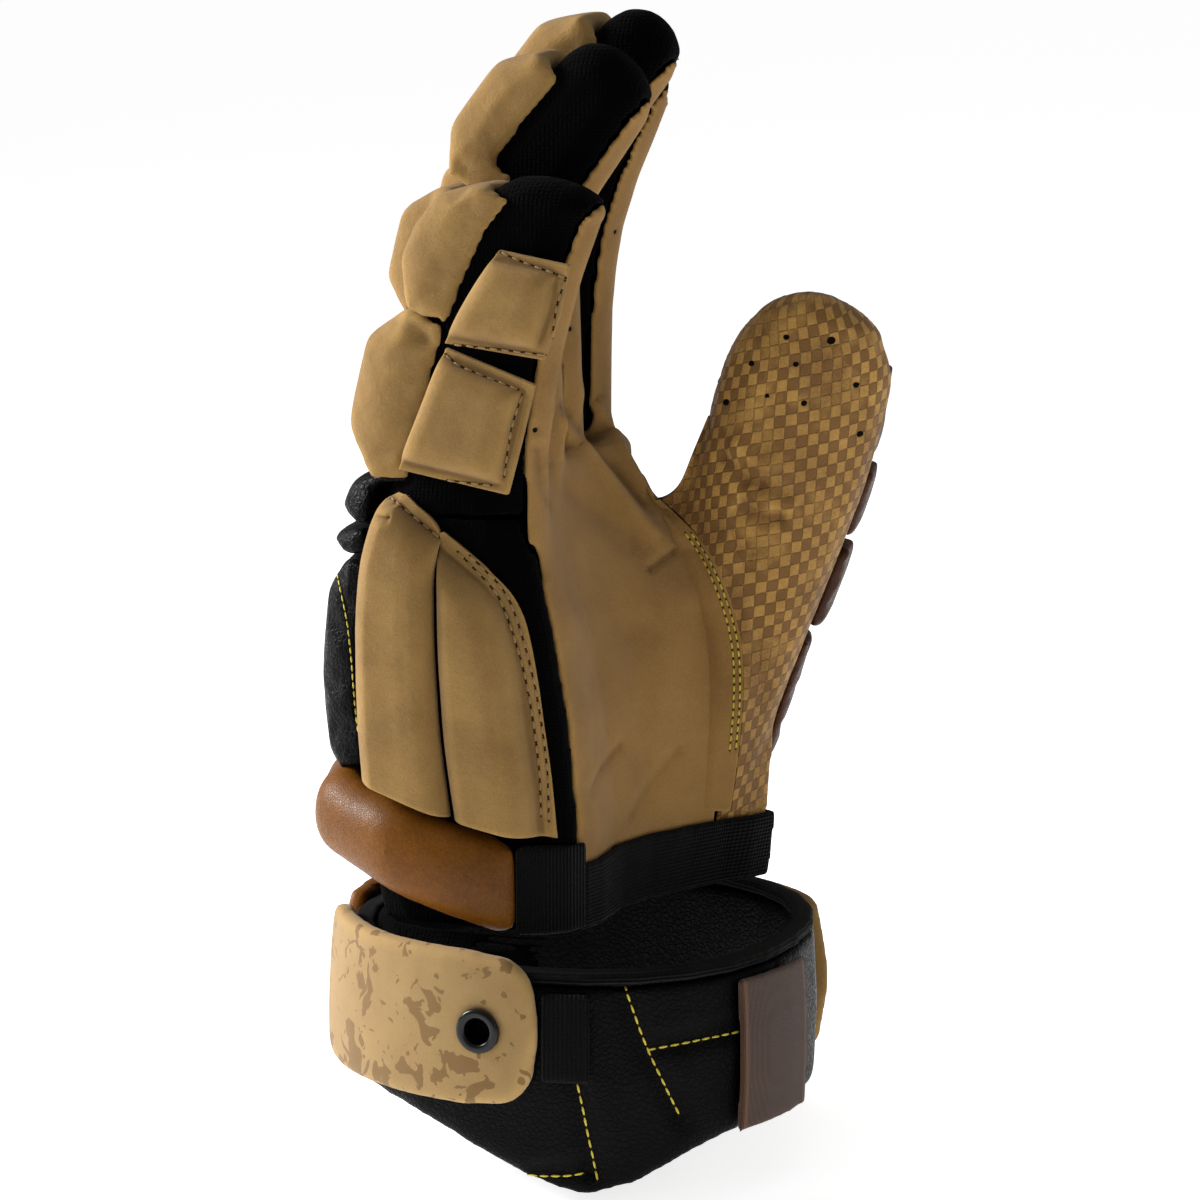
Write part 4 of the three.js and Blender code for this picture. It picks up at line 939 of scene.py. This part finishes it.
creases = {  # points of the picture, depth and width in mm; a negative depth is a raised fold
    "palmLeather": [
        ([(549, 406), (575, 436), (598, 466), (645, 526), (676, 548)], -2.0, 4.2),
        ([(554, 394), (577, 422), (619, 470), (655, 515)], 1.6, 3.4),
        ([(578, 388), (606, 424), (637, 479), (652, 500)], -1.8, 3.6),
        ([(541, 446), (572, 492), (610, 524), (655, 557)], 1.3, 5.5),
        ([(538, 440), (541, 470), (552, 510)], 1.0, 2.6), ([(645, 572), (660, 562), (680, 548)], 0.9, 1.5),
        ([(560, 600), (590, 640), (625, 690)], -0.7, 7.0), ([(590, 800), (604, 768), (628, 740)], 0.9, 2.4),
        ([(625, 830), (655, 780), (690, 740)], 0.8, 3.0)],
    "thumbLeather": [
        ([(742, 342), (759, 317), (780, 305), (794, 301.5), (812, 300.5), (832, 303.5), (851, 312), (866, 323),
          (877, 342), (881, 362)], 0.45, 0.9),
        ([(715, 452), (742, 478), (770, 492)], 1.6, 2.6), ([(728, 440), (752, 458), (784, 470)], -1.3, 3.0),
        ([(735, 500), (758, 516), (788, 520)], 1.6, 2.6), ([(745, 486), (768, 502), (800, 508)], -1.2, 2.8),
        ([(712, 520), (735, 545), (760, 560)], 1.0, 2.8), ([(735, 560), (760, 590), (790, 600)], 0.7, 3.4)],
    "cuffWrap": [
        ([(619, 972), (632, 1012), (645, 1048), (664, 1088), (690, 1136)], 2.0, 3.4),
        ([(645, 1048), (690, 1040), (745, 1029)], 1.7, 3.0),
        ([(570, 1063), (578, 1095), (584, 1125), (600, 1196)], 1.9, 3.4),
        ([(462, 1140), (490, 1160), (530, 1172), (600, 1170)], 1.4, 2.8)],
    "cuffPlatePinky": [([(338, 905), (420, 935), (520, 960)], -0.4, 7.0)],
}
yellowRows = {
    "cuffWrap": [[(622, 978), (634, 1013), (647, 1048), (666, 1088), (684, 1124)],
                 [(647, 1050), (690, 1042), (742, 1031)], [(572, 1063), (580, 1095), (586, 1125), (599, 1186)],
                 [(480, 1150), (520, 1172), (560, 1176), (592, 1172)]],
    "backPadUlnar": [[(337, 572), (343, 600), (348, 627), (352, 665), (355, 707), (360, 742), (365, 776)]],
    "knucklePadPinky": [[(350, 447), (343, 470), (337, 490)]],
}
calmBoxes = {"palmLeather": (30, (-20, -60, 98), (60, 60, 128)), "cuffWrap": (14, (-60, -80, -80), (100, 80, -38))}
for label, (step, rounds, grow, slotName) in sheets.items():
    pieces[label] = piece = evenCopy(label, step)
    relax(piece, rounds)
    fillOut(piece, grow)
    if label in ("palmLeather", "pinkySleeve"):
        lowerTip(piece)
    if label in calmBoxes:
        relax(piece, *calmBoxes[label])
    if label == "cuffPlatePinky":
        squareEnds(piece)
        relax(piece, 5)
    if label in ("thumbLeather", "thumbSleeve"):
        roundTip(piece)
    if label in cuffTurns:
        turnRound(piece, *cuffTurns[label])
    for pixels, depth, width in creases.get(label, []):
        press(piece, trace(pixels, treeOf(piece)), depth, width)
for label, rows in yellowRows.items():
    for pixels in rows:
        if label != "cuffWrap":
            sewDown(label, pixels, "fineYellow", 1.5, 0.25, 0.7)
            continue
        hits = trace(pixels, treeOf(pieces[label]), 1.5)
        farthest = min(((point - eye).length for point, _ in hits), default=0) + 60 * mm  # not the cuff's far wall
        sew([hit for hit in hits if (hit[0] - eye).length < farthest], "yellowSeam")
print("sheets shaped:", len(sheets))

# Web between palm and thumb, with the seam that runs down to the hem. All lines are points of the picture.
web = {
    "palmLine": [(645, 487), (662, 520), (682, 560), (698, 606), (706, 660), (706, 720), (701, 780), (698, 812)],
    "seamLine": [(660, 499), (676, 513), (695, 533), (713, 560), (727, 592), (738, 627), (743, 662), (743, 705),
                 (739, 752), (731, 812)],
    "thumbLine": [(709, 412), (716, 480), (732, 535), (748, 580), (758, 635), (761, 690), (758, 745), (752, 812)],
    "rim": [(645, 487), (655, 500), (677, 487), (694, 448), (709, 412)],
    "lift": 0.6, "columns": 26, "rows": 150,
}
webShare = {"palmLine": 0.0, "seamLine": 0.17, "thumbLine": 1.0}  # where a line starts along the rim


def webPatch(label, first, last, behind=0.0):
    both = treeOf(pieces["palmLeather"], pieces["thumbLeather"])
    count = web["rows"] + 1
    paths = {}
    for key in (*webShare, "rim"):
        line = smoothPath(web[key], 1.0)
        at = np.linspace(0, 1, len(line))
        paths[key] = lambda share, line=line, at=at: np.array([np.interp(share, at, line[:, k]) for k in range(2)])
    depths = {}
    for key, tree in (("palmLine", treeOf(pieces["palmLeather"])), ("thumbLine", treeOf(pieces["thumbLeather"]))):
        raw = [tree.ray_cast(eye, sight(*paths[key](v)))[3] for v in np.linspace(0, 1, count)]
        known = [k for k, value in enumerate(raw) if value is not None]
        depths[key] = np.interp(np.arange(count), known, [raw[k] for k in known])
    shape = bmesh.new()
    bmesh.ops.create_grid(shape, x_segments=web["columns"], y_segments=web["rows"], size=1.0)
    for vertex in shape.verts:
        w, v = vertex.co.x / 2 + 0.5, 0.5 - vertex.co.y / 2
        palm, whole = paths["palmLine"](v), paths["thumbLine"](v) - paths["palmLine"](v)
        rim = paths["rim"](webShare[first] + (webShare[last] - webShare[first]) * w)
        rim -= (1 - w) * paths[first](0) + w * paths[last](0)
        spot = (1 - w) * paths[first](v) + w * paths[last](v) + rim * (1 - v) ** 6
        u = min(1, max(0, (spot - palm).dot(whole) / whole.dot(whole)))
        far = [np.interp(v * (count - 1), np.arange(count), depths[key]) for key in ("palmLine", "thumbLine")]
        deep = far[0] * (1 - u) + far[1] * u
        hit = both.ray_cast(eye, sight(*spot))[3]
        if hit is not None:
            deep = min(deep, hit)
        lift = web["lift"] * min(1, 0.1 + 5 * u * (1 - u)) - behind
        if first == "palmLine" and not behind:
            lift += (0.7 * w * w - 1.1 * max(0, 1 - w / 0.45) ** 2) * min(1, 8 * v)
        vertex.co = eye + sight(*spot) * (deep - lift * mm)
    obj = newObject(label, shape)
    relax(obj, 3)
    thicken(obj, toCamera, 1.1)
    return obj


webPieces = {  # lines at both sides, mm behind the leather, and slot
    "palmSeam": ("palmLine", "seamLine", 0.0, "palm_leather"),
    "thumbWeb": ("seamLine", "thumbLine", 0.0, "check_leather"),
    "webBack": ("palmLine", "thumbLine", 2.6, "black_knit"),
}
for label, (first, last, behind, slotName) in webPieces.items():
    pieces[label] = webPatch(label, first, last, behind)
seamTree = treeOf(pieces["palmSeam"])
for slide in (-3.5, -9.5):
    path = [(px + slide, py) for px, py in web["seamLine"][2:-1]]
    press(pieces["palmSeam"], trace(path, seamTree, 1.5), 0.25, 0.8, 0)
    sew(trace(path, treeOf(pieces["palmSeam"]), 1.5), "fineYellow")
tucked = [(640, 460), (650, 478), (664, 492), (676, 505), (690, 520)]
for label in ("handLiner", "thumbSleeve", "indexSleeve"):  # what showed in front of the web
    hits = [hit for px, py in tucked for hit in aim(label, px, py)[:1]]
    for point, _ in hits:
        if (point - lookAt).length < 120 * mm:
            tuck(pieces[label], point, -toRight - toCamera * 0.3, 3.0, 13.0)
print("web and seam laid")

# Small holes that let air into the thumb and the palm: middle in the picture and radius in mm.
ventRows = {
    "thumbLeather": [(788, 337, 1.15), (832, 341, 1.6), (753, 364, 1.15), (797, 364, 0.95), (857, 384, 1.2),
                     (727, 402, 1.25), (768, 396, 0.75), (805, 403, 1.05), (861, 434, 1.2)],
    "palmLeather": [(536, 430, 0.9), (571, 329, 0.8), (616, 232, 0.7), (637, 190, 0.7)],
}
for label, rows in ventRows.items():
    for px, py, radius in rows:
        hits = aim(label, px, py)
        if not hits:
            continue
        press(pieces[label], [hits[0], hits[-1]], 0.5, radius * 1.5, 0)
        point, normal = aim(label, px, py)[0]
        bead(threads["airHoles"], point, normal.orthogonal().normalized(), normal, (radius, radius, 0.16))
print("air holes cut")

slots = {label: row[-1] for label, row in {**sheets, **webPieces}.items()}
for label, slotName in slots.items():
    if slotName in ("webbing", "label_weave"):
        ribMap(pieces[label])
    if slotName == "check_leather":
        unroll(pieces[label])
    finish(pieces[label], slotName, *([solidName(label)] if label in sheets else []))

# Eyelet: a rolled ring with a tapered mouth, spun round its own axis.
eyelet = {"rim": 6.3, "mouth": 3.7, "roll": 1.1, "deep": 3.4}


def spunEyelet():
    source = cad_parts["cuff_eyelet"]
    coords = coordsOf(source)
    middle = (coords.max(0) + coords.min(0)) / 2
    _, _, axes = np.linalg.svd(coords - coords.mean(0))
    axis = Vector(axes[2])
    if axis.dot(Vector((middle[0] - cuffX, middle[1], 0))) < 0:
        axis = -axis
    side = axis.orthogonal().normalized()
    along = (coords - middle) @ np.array(axis)
    low, high = along.min(), along.max()
    top = Vector(middle) + axis * high
    shape = bmesh.new()
    rim, mouth, roll, deep = (eyelet[key] * mm for key in ("rim", "mouth", "roll", "deep"))
    profile = [(mouth * 0.96, low - high), (mouth * 0.96, -roll), (mouth * 1.02, -roll * 0.4)]
    profile += [((mouth + rim) / 2 - (rim - mouth) / 2 * math.cos(a), roll * 0.75 * math.sin(a))
                for a in np.linspace(0.3, math.pi - 0.25, 9)]
    profile += [(rim, -roll * 0.4), (rim * 0.97, -roll * 1.2)]
    spots = [shape.verts.new(top + side * out + axis * up) for out, up in profile]
    edges = [shape.edges.new(pair) for pair in zip(spots[:-1], spots[1:])]
    bmesh.ops.spin(shape, geom=spots + edges, cent=top, axis=axis, angle=2 * math.pi, steps=40, use_merge=True)
    bmesh.ops.recalc_face_normals(shape, faces=shape.faces)
    bmesh.ops.solidify(shape, geom=shape.faces, thickness=0.4 * mm)
    return newObject("cuffEyeletRing", shape)


finish(spunEyelet(), "eyelet_enamel", "cuff_eyelet")
# the needle-hole marks are painted shade for the holes at the stitch ends
for label, slotName, finishName in (("yellowThread", "yellow_thread", None), ("tanThread", "tan_thread", None),
                                    ("needleHoles", "tan_thread", "stitch_hole_shade"),
                                    ("airHoles", "tan_thread", "air_hole")):
    finish(newObject(label, threads[label]), slotName, finishName=finishName)
print("threads laid")

# Pale floor.
floorShape = bmesh.new()
bmesh.ops.create_grid(floorShape, x_segments=2, y_segments=2, size=9.0)
floor = newObject("floor", floorShape)
floor.location = (0, 0, cadBox[0].z - 0.5 * mm)
floor.data.materials.append(newMaterial("paleFloor", Roughness=0.9, Specular_IOR_Level=0.1,
                                        Base_Color=(0.93, 0.93, 0.93, 1), Emission_Color=(1, 1, 1, 1),
                                        Emission_Strength=0.75)[0])

counts = {label: sum(len(p.vertices) - 2 for p in obj.data.polygons) for label, obj in pieces.items()}
print("triangles:", sum(counts.values()), "most:", max(counts, key=counts.get), max(counts.values()))
